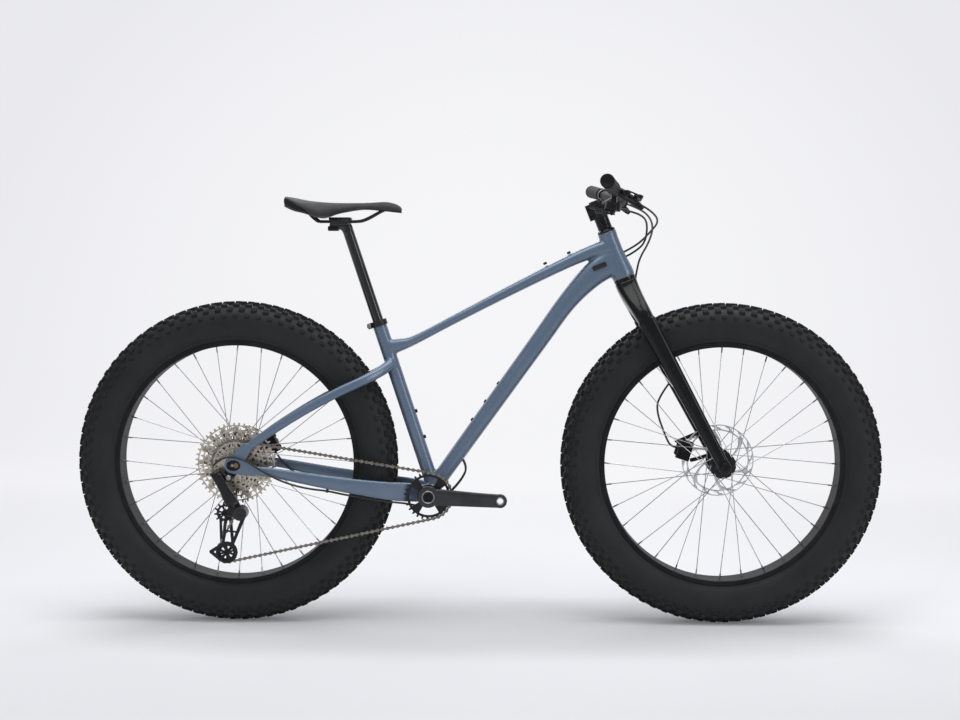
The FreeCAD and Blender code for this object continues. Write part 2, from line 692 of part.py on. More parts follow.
shifter = pipe(shifter_in, shifter_out, bar_end_radius + 3.2, bar_end_radius)
pod_neck = block((bar_end_radius + 1, 0, -6), (pod_drop - bar_end_radius, 14, 12), shifter_in, pod_down, end_along)
pod = rod(shifter_in + pod_down * pod_drop - end_along * 14 - pod_front * 2,
          shifter_in + pod_down * pod_drop - end_along * 14 + pod_down * pod_height - pod_front * 2, 19.0)
pod_arm = block((pod_drop - 4, -14, -7), (10, 28, 14), shifter_in, pod_down, end_along)
shifter = shifter.fuse([pod_neck, pod_arm, pod])
paddle_pin_radius = 2.5
paddle_centre = shifter_in + pod_down * (pod_drop + pod_height) - end_along * 14 - pod_front * 2
paddle_pin = rod(paddle_centre - pod_down * 2, paddle_centre + pod_down * 11.5, paddle_pin_radius)
shifter = shifter.fuse(paddle_pin).cut(rod(shifter_in - end_along * 30, shifter_out + end_along * 30, bar_end_radius))
save("control_mounts", lever_body, mirrored(lever_body), mirrored(shifter.removeSplitter()))

# Brake lever blades: hooked two-finger levers turning on the pivot pins
finger_half = 4.4
blade_discs = [(0, 0, 6.5), (16, 12, 4.8), (52, 15, 4.4), (92, 21, 5.6)]
lever_blade = Part.makeCylinder(blade_discs[0][2], 2 * pivot_half, V(0, -pivot_half, 0), left)
for disc, next_disc in zip(blade_discs, blade_discs[1:]):
    lever_blade = lever_blade.fuse(link_plate(disc, next_disc, -finger_half, finger_half))
pin_hole = Part.makeCylinder(pivot_pin_radius + running_gap, 4 * pivot_half, V(0, -2 * pivot_half, 0), left)
lever_blade = lever_blade.removeSplitter().cut(pin_hole)
lever_blade.Placement = FreeCAD.Placement(
    pivot_centre, FreeCAD.Rotation(end_along, lever_up, lever_forward, "XYZ"))
save("left_brake_lever", lever_blade)
save("right_brake_lever", mirrored(lever_blade))

# Shift paddles: a thumb lever and a release lever stacked on one pin under the pod
paddle_thickness = 4.0
paddle_steps = (("thumb_shift_lever", 0.6, -0.3, 46.0), ("release_shift_lever", 5.6, 0.55, 40.0))
for node, drop, swing, reach in paddle_steps:
    root = paddle_centre + pod_down * drop
    aim = unit(end_along * -math.sin(swing) - pod_front * math.cos(swing))
    side = pod_down.cross(aim)
    hub = rod(root, root + pod_down * paddle_thickness, 8.0)
    bar = block((0, -5, 0), (reach, 10, paddle_thickness), root, aim, side)
    tab = rod(root + aim * reach, root + aim * reach + pod_down * paddle_thickness, 8.0)
    hole = rod(root - pod_down * 5, root + pod_down * 20, paddle_pin_radius + running_gap)
    save(node, mirrored(hub.fuse([bar, tab]).removeSplitter().cut(hole)))

# Bolts of the cockpit
save("stem_bolts", *bolts)

# Front thru-axle with its head on the drive side
front_far = fork_half + blade_thickness - 2
front_rod = rod(front_axle - left * front_far, front_axle + left * front_far, front_axle_radius)
front_head = rod(front_axle - left * (front_far + axle_head_height), front_axle - left * front_far,
                 front_axle_radius + 4)
save("front_thru_axle", front_rod.fuse(front_head).removeSplitter())


def tyre():
    """Hollow casing seated between the rim's flanges, at the height of its tread blocks."""
    bead_radius = rim_inner_radius + rim_wall + part_gap
    bead_y = rim_width / 2 - rim_wall - part_gap
    lip_radius = rim_inner_radius + rim_flange + 1.5
    widest = (bead_radius + tyre_radius) / 2
    half = tyre_width / 2
    shoulder_radius = tyre_radius - 16
    shoulder_y = half * 0.86
    wall = tyre_wall
    tread = tyre_wall + tread_depth

    def at(radius, y):
        return V(radius, y, 0)

    def line(a, b):
        return Part.LineSegment(a, b).toShape()

    edges = [
        Part.Arc(at(shoulder_radius, -shoulder_y), at(tyre_radius, 0), at(shoulder_radius, shoulder_y)).toShape(),
        Part.Arc(at(shoulder_radius, shoulder_y), at(widest, half), at(lip_radius, bead_y)).toShape(),
        line(at(lip_radius, bead_y), at(bead_radius, bead_y)),
        line(at(bead_radius, bead_y), at(bead_radius, bead_y - 2 * wall)),
        line(at(bead_radius, bead_y - 2 * wall), at(lip_radius, bead_y - wall)),
        Part.Arc(at(lip_radius, bead_y - wall), at(widest, half - wall),
                 at(shoulder_radius - wall, shoulder_y - wall)).toShape(),
        Part.Arc(at(shoulder_radius - wall, shoulder_y - wall), at(tyre_radius - tread, 0),
                 at(shoulder_radius - wall, wall - shoulder_y)).toShape(),
        Part.Arc(at(shoulder_radius - wall, wall - shoulder_y), at(widest, wall - half),
                 at(lip_radius, wall - bead_y)).toShape(),
        line(at(lip_radius, wall - bead_y), at(bead_radius, 2 * wall - bead_y)),
        line(at(bead_radius, 2 * wall - bead_y), at(bead_radius, -bead_y)),
        line(at(bead_radius, -bead_y), at(lip_radius, -bead_y)),
        Part.Arc(at(lip_radius, -bead_y), at(widest, -half), at(shoulder_radius, -shoulder_y)).toShape(),
    ]
    return Part.Face(Part.Wire(edges)).revolve(V(0, 0, 0), V(0, 1, 0), 360)


def rim():
    bed = rim_inner_radius + rim_wall
    top = rim_inner_radius + rim_flange
    out = rim_width / 2
    inside = out - rim_wall
    profile = [(-out, rim_inner_radius), (out, rim_inner_radius), (out, top), (inside, top), (inside, bed),
               (-inside, bed), (-inside, top), (-out, top)]
    return turned(profile, V(0, 0, 0), left)


def spokes(near_flange, far_flange, hole_radius):
    """Crossed spokes with their nipples, beside the hub flanges and up to the rim's bed."""
    made = []
    step = 2 * math.pi / spokes_per_flange
    rim_y = 10.0
    rim_end = rim_inner_radius - nipple_radius * 0.35
    beside = half_flange + spoke_radius + part_gap
    past_edge = math.sqrt(flange_radius ** 2 - hole_radius ** 2) + 3 * spoke_radius
    for flange, sign, shift in ((near_flange, -1, 0.0), (far_flange, 1, 0.5)):
        lean = past_edge * (abs(flange) - rim_y) / (rim_end - hole_radius)
        for k in range(spokes_per_flange):
            lead = 1 if k % 2 == 0 else -1
            offset = beside + lean if lead == 1 else beside
            at_hub = (k + shift) * step
            at_rim = at_hub + lead * spoke_cross * step
            start = V(math.cos(at_hub) * hole_radius, flange + sign * lead * offset, math.sin(at_hub) * hole_radius)
            end = V(math.cos(at_rim) * rim_end, sign * rim_y, math.sin(at_rim) * rim_end)
            aim = unit(end - start)
            wire = rod(start, end - aim * nipple_length * 0.5, spoke_radius)
            nipple = rod(end - aim * nipple_length, end - aim * part_gap, nipple_radius)
            foot = V(start.x, flange + sign * lead * half_flange, start.z)
            elbow = rod(foot, start, spoke_radius).fuse(Part.makeSphere(spoke_radius, start))
            made.append(wire.fuse([nipple, elbow]).removeSplitter())
    return made


def rotor(radius, bore):
    """Brake disc: a braking band joined to its carrier by curved windows between six arms."""
    band = 15.0
    carrier = 24.0
    disc = Part.makeCylinder(radius, rotor_thickness, V(0, -rotor_thickness / 2, 0), left)
    disc = disc.cut(Part.makeCylinder(bore, 10, V(0, -5, 0), left))
    for k in range(6):
        disc = disc.cut(sector(carrier, radius - band, k * 60 + 8, k * 60 + 52, -5, 5))
    return disc


def sector(low, high, start, end, y_low, y_high):
    """Part of a ring about the Y axis, between two angles in the XZ plane."""

    def at(radius, angle):
        return V(radius * math.cos(rad(angle)), y_low, radius * math.sin(rad(angle)))

    middle = (start + end) / 2
    edges = [
        Part.LineSegment(at(low, start), at(high, start)).toShape(),
        Part.Arc(at(high, start), at(high, middle), at(high, end)).toShape(),
        Part.LineSegment(at(high, end), at(low, end)).toShape(),
        Part.Arc(at(low, end), at(low, middle), at(low, start)).toShape(),
    ]
    return Part.Face(Part.Wire(edges)).extrude(V(0, y_high - y_low, 0))


# Front wheel
flange_radius = 33.0
flange_hole = flange_radius - 4.0
shell_radius = 15.5
rotor_bore = 17.0
front_rotor_y = fork_half - rotor_inset
front_near_flange = -fork_half + 24.0
front_far_flange = front_rotor_y - 21.0
half_flange = flange_thickness / 2


def hub(near_end, far_end, near_flange, far_flange, rotor_y, bore, cap, near_body):
    """Hub shell turned about Y, with two spoke flanges and a seat for the rotor."""
    step = rotor_thickness / 2
    profile = [
        (near_end, bore),
        (near_end, cap),
        (near_flange - 8, near_body),
        (near_flange - half_flange, shell_radius + 6),
        (near_flange - half_flange, flange_radius),
        (near_flange + half_flange, flange_radius),
        (near_flange + half_flange, shell_radius + 3),
        (near_flange + 12, shell_radius),
        (far_flange - 12, shell_radius),
        (far_flange - half_flange, shell_radius + 3),
        (far_flange - half_flange, flange_radius),
        (far_flange + half_flange, flange_radius),
        (far_flange + half_flange, rotor_bore + 4),
        (rotor_y - step, rotor_bore + 4),
        (rotor_y - step, rotor_bore),
        (rotor_y + step + 3, rotor_bore),
        (rotor_y + step + 3, cap),
        (far_end, cap),
        (far_end, bore),
    ]
    return turned(profile, V(0, 0, 0), left)


def moved(shape, centre):
    shape = shape.copy()
    shape.translate(centre)
    return shape


tyre_solid = tyre()
rim_solid = rim()
front_end = fork_half - part_gap
front_hub = hub(-front_end, front_end, front_near_flange, front_far_flange, front_rotor_y,
                front_axle_radius + running_gap, 12.0, 14.0)
save("front_tyre", moved(tyre_solid, front_axle))
save("front_rim", moved(rim_solid, front_axle))
front_spokes = spokes(front_near_flange, front_far_flange, flange_hole)
save("front_spokes", *[moved(spoke, front_axle) for spoke in front_spokes])
save("front_hub", moved(front_hub, front_axle))
save("front_rotor", moved(rotor(front_rotor_radius, rotor_bore), front_axle + left * front_rotor_y))

# Rear wheel: the shell stops at the freehub, and a slim axle sleeve goes on through it
rear_rotor_y = hub_half - rotor_inset
rear_far_flange = rear_rotor_y - 21.0
first_cog_y = -hub_half + first_cog_inset
last_cog_y = first_cog_y + (len(cog_teeth) - 1) * cog_spacing
freehub_end = last_cog_y + 6.0
rear_near_flange = freehub_end + 11.0
sleeve_radius = 8.0
rear_end = hub_half - part_gap
rear_hub = hub(freehub_end + part_gap, rear_end, rear_near_flange, rear_far_flange, rear_rotor_y,
               rear_axle_radius + running_gap, 13.0, 16.0)
rear_sleeve = pipe(-left * rear_end, left * rear_near_flange, sleeve_radius, rear_axle_radius + running_gap)
rear_hub = rear_hub.fuse(rear_sleeve).removeSplitter()
save("rear_tyre", moved(tyre_solid, rear_axle))
save("rear_rim", moved(rim_solid, rear_axle))
rear_spokes = spokes(rear_near_flange, rear_far_flange, flange_hole)
save("rear_spokes", *[moved(spoke, rear_axle) for spoke in rear_spokes])
save("rear_hub", moved(rear_hub, rear_axle))
save("rear_rotor", moved(rotor(rear_rotor_radius, rotor_bore), rear_axle + left * rear_rotor_y))

# Brake calipers: a slotted body over the rotor's edge, with a pad each side of the disc
caliper_half_width = 15.0
caliper_deep = 20.0
caliper_proud = 13.0
caliper_half_length = 24.0
pad_half_length = 13.0
pad_depth = 16.0
slot_half = rotor_thickness / 2 + pad_gap + pad_thickness + part_gap


def caliper(axle, rotor_y, rotor_radius, angle):
    """Caliper body and its inboard and outboard pads, at an angle round the axle."""
    radial = V(math.cos(rad(angle)), 0, math.sin(rad(angle)))
    centre = axle + left * rotor_y + radial * rotor_radius
    low = -caliper_deep
    body = block((low, -caliper_half_width, -caliper_half_length),
                 (caliper_deep + caliper_proud, 2 * caliper_half_width, 2 * caliper_half_length), centre, radial)
    slot = block((low - 1, -slot_half, -caliper_half_length - 1),
                 (caliper_deep + 4, 2 * slot_half, 2 * caliper_half_length + 2), centre, radial)
    pads = []
    for low_y in (-slot_half + part_gap, rotor_thickness / 2 + pad_gap):
        pads.append(block((low + 2, low_y, -pad_half_length), (pad_depth, pad_thickness, 2 * pad_half_length),
                          centre, radial))
    return body.cut(slot), pads, centre, radial


front_caliper_angle = 163.0
front_body, front_pads, front_caliper_at, front_radial = caliper(
    front_axle, front_rotor_y, front_rotor_radius, front_caliper_angle)
front_post = block((-8, caliper_half_width, -18), (26, blade_y - front_rotor_y - caliper_half_width, 36),
                   front_caliper_at, front_radial)
front_body = front_body.fuse(front_post).cut(fork).removeSplitter()
save("front_brake_caliper", max(front_body.Solids, key=lambda s: s.Volume))
save("front_inboard_pad", front_pads[0])
save("front_outboard_pad", front_pads[1])
rear_caliper_angle = 26.0
rear_body, rear_pads, rear_caliper_at, rear_radial = caliper(
    rear_axle, rear_rotor_y, rear_rotor_radius, rear_caliper_angle)
rear_post_width = hub_half - rear_rotor_y - caliper_half_width
rear_post = block((-caliper_deep, caliper_half_width, -16), (caliper_deep, rear_post_width, 32),
                  rear_caliper_at, rear_radial)
rear_body = rear_body.fuse(rear_post).cut(stays[0]).cut(stays[1]).cut(far_dropout).removeSplitter()
save("rear_brake_caliper", max(rear_body.Solids, key=lambda s: s.Volume))
save("rear_inboard_pad", rear_pads[0])
save("rear_outboard_pad", rear_pads[1])


def pitch_radius(teeth):
    return chain_pitch / (2 * math.sin(math.pi / teeth))


def sprocket(teeth, thickness, phase, bore):
    """Toothed disc about Y, with a roller seat at the phase angle in the XZ plane."""
    pitch = pitch_radius(teeth)
    seat = roller_radius + 0.25
    seat_turn = rad(72)
    tip_half = 1.0
    edges = []

    def polar(radius, angle):
        return V(radius * math.cos(angle), -thickness / 2, radius * math.sin(angle))

    def on_seat(k, turn):
        angle = phase + k * 2 * math.pi / teeth
        outward = V(math.cos(angle), 0, math.sin(angle))
        across = V(-math.sin(angle), 0, math.cos(angle))
        return polar(pitch, angle) - outward * (seat * math.cos(turn)) + across * (seat * math.sin(turn))

    for k in range(teeth):
        tip_angle = phase + (k + 0.5) * 2 * math.pi / teeth
        tip = pitch + tooth_height
        first_tip = polar(tip, tip_angle - tip_half / tip)
        second_tip = polar(tip, tip_angle + tip_half / tip)
        edges.append(Part.Arc(on_seat(k, -seat_turn), on_seat(k, 0), on_seat(k, seat_turn)).toShape())
        edges.append(Part.LineSegment(on_seat(k, seat_turn), first_tip).toShape())
        edges.append(Part.LineSegment(first_tip, second_tip).toShape())
        edges.append(Part.LineSegment(second_tip, on_seat(k + 1, -seat_turn)).toShape())
    disc = Part.Face(Part.Wire(edges)).extrude(V(0, thickness, 0))
    return disc.cut(Part.makeCylinder(bore, 2 * thickness, V(0, -thickness, 0), left))


# Chain line and the four wheels the chain runs over, with their turning sense seen from the drive side
chain_y = first_cog_y + cog_in_use * cog_spacing
guide_at = rear_axle + V(-25, 0, -121)
tension_at = rear_axle + V(-21, 0, -218)
cog_in_mesh = cog_teeth[cog_in_use]
runs = [
    (bb, ring_teeth, 1),
    (rear_axle, cog_in_mesh, 1),
    (guide_at, pulley_teeth, -1),
    (tension_at, pulley_teeth, 1),
]


def tangents(offset):
    """Where the chain leaves each wheel and reaches the next, for a line offset to the inside of the loop."""
    found = []
    for k, (centre, teeth, sense) in enumerate(runs):
        other, other_teeth, other_sense = runs[(k + 1) % len(runs)]
        span = other - centre
        near = sense * pitch_radius(teeth) - offset
        far = other_sense * pitch_radius(other_teeth) - offset
        angle = math.atan2(span.z, span.x) - math.asin((far - near) / span.Length)
        normal = V(-math.sin(angle), 0, math.cos(angle))
        found.append((centre - normal * near, other - normal * far))
    return found


def wrap(k, offset):
    """Start angle, turn and radius of the chain's arc on wheel k."""
    centre, teeth, sense = runs[k]
    links = tangents(offset)
    arrive = links[k - 1][1] - centre
    leave = links[k][0] - centre
    start = math.atan2(arrive.z, arrive.x)
    turn = (math.atan2(leave.z, leave.x) - start) * sense % (2 * math.pi)
    return start, turn * sense, arrive.Length


def loop(offset):
    """Closed wire of the chain's runs and arcs."""
    edges = []
    links = tangents(offset)
    for k, (centre, teeth, sense) in enumerate(runs):
        start, turn, radius = wrap(k, offset)
        middle = centre + V(math.cos(start + turn / 2), 0, math.sin(start + turn / 2)) * radius
        edges.append(Part.Arc(links[k - 1][1], middle, links[k][0]).toShape())
        edges.append(Part.LineSegment(links[k][0], links[k][1]).toShape())
    return Part.Wire(edges)


# Chain: two side bands of plates and a roller at every pitch, seated between the teeth
arc_links = []
run_lengths = []
for k, (centre, teeth, sense) in enumerate(runs):
    arc_links.append(abs(wrap(k, 0)[1]) * teeth / (2 * math.pi))
    start, end = tangents(0)[k]
    run_lengths.append((end - start).Length)
link_count = 2 * round((sum(arc_links) + sum(run_lengths) / chain_pitch) / 2)
run_pitch = sum(run_lengths) / (link_count - sum(arc_links))
print(f"chain: {link_count} links, pitch on the runs {run_pitch:.3f} mm")
band_face = Part.Face(loop(-chain_half_height)).cut(Part.Face(loop(chain_half_height))).Faces[0]
band_thickness = chain_half_width - roller_half_width
chain = []
for low in (chain_y - chain_half_width, chain_y + roller_half_width):
    band = band_face.copy()
    band.translate(V(0, low, 0))
    chain.append(band.extrude(V(0, band_thickness, 0)))
phases = {}
counted = 0.0
for k, (centre, teeth, sense) in enumerate(runs):
    start, turn, radius = wrap(k, 0)
    first = math.ceil(counted - 1e-9)
    phases[k] = start + sense * (first - counted) * 2 * math.pi / teeth
    spots = []
    for n in range(first, math.ceil(counted + arc_links[k])):
        angle = start + sense * (n - counted) * 2 * math.pi / teeth
        spots.append(centre + V(math.cos(angle), 0, math.sin(angle)) * radius)
    counted += arc_links[k]
    leave, reach = tangents(0)[k]
    run_links = run_lengths[k] / run_pitch
    for n in range(math.ceil(counted), math.ceil(counted + run_links - 1e-9)):
        spots.append(mix(leave, reach, (n - counted) / run_links))
    counted += run_links
    for spot in spots:
        low = spot + left * (chain_y - roller_half_width)
        chain.append(rod(low, low + left * (2 * roller_half_width), roller_radius))
save("chain", *chain)

# Cassette: twelve cogs on a stepped freehub body, held by a lockring
land_radius = freehub_radius + 3.0
freehub_profile = [(freehub_end, sleeve_radius + running_gap), (freehub_end, land_radius + 4)]
cogs = []
for k in reversed(range(len(cog_teeth))):
    teeth = cog_teeth[k]
    y = first_cog_y + k * cog_spacing
    land = land_radius + 4 if k == len(cog_teeth) - 1 else land_radius
    freehub_profile += [
        (y + cog_thickness / 2, land),
        (y + cog_thickness / 2, freehub_radius),
        (y - cog_thickness / 2, freehub_radius),
        (y - cog_thickness / 2, land_radius),
    ]
    phase = phases[1] if k == cog_in_use else 0.4 * k
    cog = sprocket(teeth, cog_thickness, phase, freehub_radius)
    root = pitch_radius(teeth) - roller_radius
    window_low = land_radius + 4
    window_high = root - 4
    if window_high - window_low > 6:
        for arm in range(8):
            cog = cog.cut(sector(window_low, window_high, arm * 45 + 3 * k, arm * 45 + 3 * k + 33, -5, 5))
    cogs.append(moved(cog, rear_axle + left * y))
lock_end = first_cog_y - cog_thickness / 2 - 1.0
freehub_profile[-1] = (lock_end, freehub_radius)
freehub_profile.append((lock_end, sleeve_radius + running_gap))
freehub = turned(freehub_profile, rear_axle, left)
lockring = pipe(rear_axle + left * (lock_end - 2), rear_axle + left * lock_end, freehub_radius + 1,
                sleeve_radius + running_gap)
lock_sleeve = pipe(rear_axle + left * lock_end, rear_axle + left * (first_cog_y - cog_thickness / 2),
                   freehub_radius + 1, freehub_radius)
save("cassette", *cogs, freehub, lockring.fuse(lock_sleeve).removeSplitter())

# Crank: drive arm with the spindle pressed into it, the chainring on its collar, and the opposite arm
crank_along = V(math.cos(rad(crank_angle)), 0, math.sin(rad(crank_angle)))
collar_end = shell_end + cup_lip + part_gap
ring_bore = 20.0
ring_y = -chain_y
arm_inner = ring_y + ring_thickness / 2 + 3.0
arm_thickness = 13.0
boss_end = arm_inner + 22.0
pedal_at = bb + crank_along * crank_length


def crank_arm(sign, along):
    """Tapered crank arm with a round boss at each end, on the side given by the sign."""
    y_root = arm_inner + 13.0
    y_tip = q_half - arm_thickness / 2
    tip = bb + along * crank_length
    arm = limb([
        (bb + along * 8 + left * sign * y_root, 7.5, 21.0),
        (bb + along * 55 + left * sign * (y_root + (y_tip - y_root) * 0.25), 7.0, 19.5),
        (bb + along * crank_length * 0.7 + left * sign * (y_root + (y_tip - y_root) * 0.8), 6.5, 17.5),
        (bb + along * (crank_length + 2) + left * sign * y_tip, arm_thickness / 2, pedal_boss_radius - 0.2),
    ], 4.0)
    pedal_boss = rod(tip + left * sign * (q_half - arm_thickness), tip + left * sign * q_half, pedal_boss_radius)
    root_boss = rod(bb + left * sign * arm_inner, bb + left * sign * boss_end, 26.0)
    collar = rod(bb + left * sign * collar_end, bb + left * sign * arm_inner, ring_bore)
    arm = arm.fuse([pedal_boss, root_boss, collar]).removeSplitter()
    return arm.cut(rod(tip, tip + left * sign * 2 * q_half, pedal_thread_radius))


spindle_end = boss_end - 4.0
spindle_core = rod(bb - left * spindle_end, bb + left * spindle_end, spindle_radius)
spindle_bore = rod(bb - left * q_half, bb + left * q_half, spindle_radius - 3.0)
drive_arm = crank_arm(-1, crank_along).cut(spindle_core).cut(spindle_bore)
save("drive_crank_arm", drive_arm, spindle_core.cut(spindle_bore))
far_arm = crank_arm(1, crank_along * -1)
save("left_crank_arm", far_arm.cut(rod(bb, bb + left * 2 * q_half, spindle_radius)))
ring = sprocket(ring_teeth, ring_thickness, phases[0], ring_bore)
ring_root = pitch_radius(ring_teeth) - roller_radius
for k in range(4):
    ring = ring.cut(sector(ring_bore + 8, ring_root - 6, k * 90 + 18, k * 90 + 72, -5, 5))
save("chainring", moved(ring, bb + left * chain_y))

# Rear derailleur. Its two links swing about parallel pins, so that the cage moves in under the larger cogs
link_top = rear_axle + V(-42, 0, -18)
link_bottom = rear_axle + V(1, 0, -95)
link_length = (link_bottom - link_top).Length
link_along = unit(link_bottom - link_top)
link_slant = 40.0
link_back = V(link_along.z, 0, -link_along.x)
link_swing = left * math.cos(rad(link_slant)) + link_back * math.sin(rad(link_slant))
link_pin_axis = link_along.cross(link_swing)
link_half_gap = 8.0
barrel_radius = 4.6
link_pin_radius = 2.2
barrel_half = 8.0
cheek_gap = part_gap
cheek_thickness = 3.5
knuckle_y = -hub_half - hanger_thickness - 9.0
swing_centre_top = link_top + left * knuckle_y
swing_centre_bottom = link_bottom + left * knuckle_y


def link_bar(offset):
    """One link: two barrels on the pins and a bar between them."""
    top = swing_centre_top + link_swing * offset
    bottom = swing_centre_bottom + link_swing * offset
    reach = link_pin_axis * barrel_half
    bar = block((barrel_radius - 1, -2.2, -barrel_half), (link_length - 2 * barrel_radius + 2, 4.4, 2 * barrel_half),
                top, link_along, link_swing)
    body = rod(top - reach, top + reach, barrel_radius)
    body = body.fuse([bar, rod(bottom - reach, bottom + reach, barrel_radius)]).removeSplitter()
    for end in (top, bottom):
        body = body.cut(rod(end - reach * 2, end + reach * 2, link_pin_radius + running_gap))
    return body


def cheek(centre, extra):
    """Plate across the ends of two barrels, with the pins that go through them."""
    low = barrel_half + cheek_gap
    shape = block((-barrel_radius, -link_half_gap - barrel_radius, low),
                  (2 * barrel_radius + extra, 2 * (link_half_gap + barrel_radius), cheek_thickness), centre,
                  link_along, link_swing)
    pins = []
    for offset in (-link_half_gap, link_half_gap):
        start = centre + link_swing * offset
        pins.append(rod(start - link_pin_axis * barrel_half, start + link_pin_axis * (low + 1), link_pin_radius))
    return shape.fuse(pins)


save("outer_link", link_bar(-link_half_gap))
save("inner_link", link_bar(link_half_gap))
bracket_out = -hub_half - dropout_thickness - 8.0
bracket_in = hanger_face - part_gap
bracket_bolt = rod(hanger_bolt + left * bracket_in, hanger_bolt + left * bracket_out, 10.0)
bolt_shank = rod(hanger_bolt + left * (-hub_half), hanger_bolt + left * bracket_out, hanger_bolt_radius - running_gap)
cheek_foot = swing_centre_top + link_pin_axis * (barrel_half + cheek_gap + cheek_thickness / 2)
bracket_arm = rod(cheek_foot + link_along * 4, V(hanger_bolt.x, (bracket_in + bracket_out) / 2, hanger_bolt.z), 6.0)
keep_clear = block((-60, -60, -60), (240, 120, 60 + barrel_half + cheek_gap), swing_centre_top, link_along, link_swing)
bracket = bracket_bolt.fuse(bracket_arm).cut(keep_clear)
bracket = bracket.fuse([cheek(swing_centre_top, 6.0), bolt_shank]).cut(hanger).cut(drive_dropout)
save("derailleur_bracket", max(bracket.removeSplitter().Solids, key=lambda s: s.Volume))
cage_pivot = rear_axle + V(18, 0, -116)
cage_gap = 4.7
cage_wall = 2.0
housing_in = chain_y - cage_gap - cage_wall - 3.0
housing_out = knuckle_y - 9.0
housing = rod(cage_pivot + left * housing_in, cage_pivot + left * housing_out, 17.0)
cage_pin_radius = 4.0
cage_pin = rod(cage_pivot + left * (chain_y - cage_gap), cage_pivot + left * housing_out, cage_pin_radius)
web_start = swing_centre_bottom + link_pin_axis * (barrel_half + cheek_gap + cheek_thickness / 2) + link_along * 9
web = rod(web_start, cage_pivot + left * (housing_in + housing_out) / 2, 5.0)
barrel_room = block((-60, -40, -barrel_half - cheek_gap), (60 + barrel_radius + part_gap, 80, 2 * (barrel_half + cheek_gap)),
                    swing_centre_bottom, link_along, link_swing)
cage_knuckle = housing.fuse(web).cut(barrel_room).fuse([cheek(swing_centre_bottom, 8.0), cage_pin])
save("cage_knuckle", max(cage_knuckle.removeSplitter().Solids, key=lambda s: s.Volume))
pulley_pin_radius = 3.0
outer_plate_y = chain_y - cage_gap - cage_wall
guide_disc = (guide_at.x, guide_at.z, 14.0)
tension_disc = (tension_at.x, tension_at.z, 20.0)
tail_disc = (tension_at.x - 38.0, tension_at.z + 2.0, 5.5)
outer_plate = link_plate((cage_pivot.x, cage_pivot.z, 15.0), guide_disc, outer_plate_y, outer_plate_y + cage_wall)
outer_plate = outer_plate.fuse([
    link_plate(tension_disc, (cage_pivot.x, cage_pivot.z, 13.0), outer_plate_y, outer_plate_y + cage_wall),
    link_plate(tension_disc, tail_disc, outer_plate_y, outer_plate_y + cage_wall),
]).removeSplitter()
inner_plate_y = chain_y + cage_gap
inner_plate = link_plate(tension_disc, guide_disc, inner_plate_y, inner_plate_y + cage_wall)
cage = outer_plate.cut(rod(cage_pivot - left * wheelbase, cage_pivot, cage_pin_radius + running_gap))
for centre in (guide_at, tension_at):
    cage = cage.fuse(rod(centre + left * outer_plate_y, centre + left * (inner_plate_y + cage_wall),
                         pulley_pin_radius))
save("derailleur_cage", cage.fuse(inner_plate).removeSplitter())
for node, centre, k in (("guide_pulley", guide_at, 2), ("tension_pulley", tension_at, 3)):
    pulley = sprocket(pulley_teeth, pulley_thickness, phases[k], pulley_pin_radius + running_gap)
    for hole in range(6):
        angle = rad(hole * 60)
        at = V(math.cos(angle) * 12, -5, math.sin(angle) * 12)
        pulley = pulley.cut(Part.makeCylinder(3.6, 10, at, left))
    save(node, moved(pulley, centre + left * chain_y))

# Seatpost with its clamp head, the saddle's rails, shell and pad
post_bottom = seat_top - seat_up * seatpost_inserted
post_top = seat_top + seat_up * seatpost_exposed
head_setback = 16.0
rail_centre = post_top + V(-head_setback, 0, 15.0)
clamp_half_length = 22.0
jaw_thickness = 5.0
lower_jaw = Part.makeBox(2 * clamp_half_length, 2 * (rail_half_gap + 6), jaw_thickness + rail_radius,
                         rail_centre + V(-clamp_half_length, -rail_half_gap - 6, -jaw_thickness - rail_radius))
upper_jaw = Part.makeBox(2 * clamp_half_length, 2 * (rail_half_gap + 6), jaw_thickness,
                         rail_centre + V(-clamp_half_length, -rail_half_gap - 6, 0))
rail_grooves = []
for sign in (-1, 1):
    start = rail_centre + V(-clamp_half_length - 5, sign * rail_half_gap, 0)
    rail_grooves.append(rod(start, start + V(2 * clamp_half_length + 10, 0, 0), rail_radius))
head_core_shape = limb([(post_top - seat_up * 12, seatpost_radius, seatpost_radius),
                        (mix(post_top, rail_centre, 0.35), 14.5, 15.0),
                        (rail_centre - V(0, 0, jaw_thickness + 1), 17.0, 18.0)], 2.6)
head_core_shape = head_core_shape.cut(Part.makeBox(200, 200, 60, rail_centre + V(-100, -100, 0)))
post = pipe(post_bottom, post_top, seatpost_radius, seatpost_radius - 2.5)
jaws = lower_jaw.fuse(upper_jaw)
for groove in rail_grooves:
    jaws = jaws.cut(groove)
clamp_bolts = []
for x in (-clamp_half_length + 6, clamp_half_length - 6):
    low = rail_centre + V(x, 0, -jaw_thickness - rail_radius - 9)
    clamp_bolts.append(rod(low, low + V(0, 0, 2 * jaw_thickness + rail_radius + 12), 2.6))
save("seatpost", post.fuse([head_core_shape, jaws] + clamp_bolts).removeSplitter())

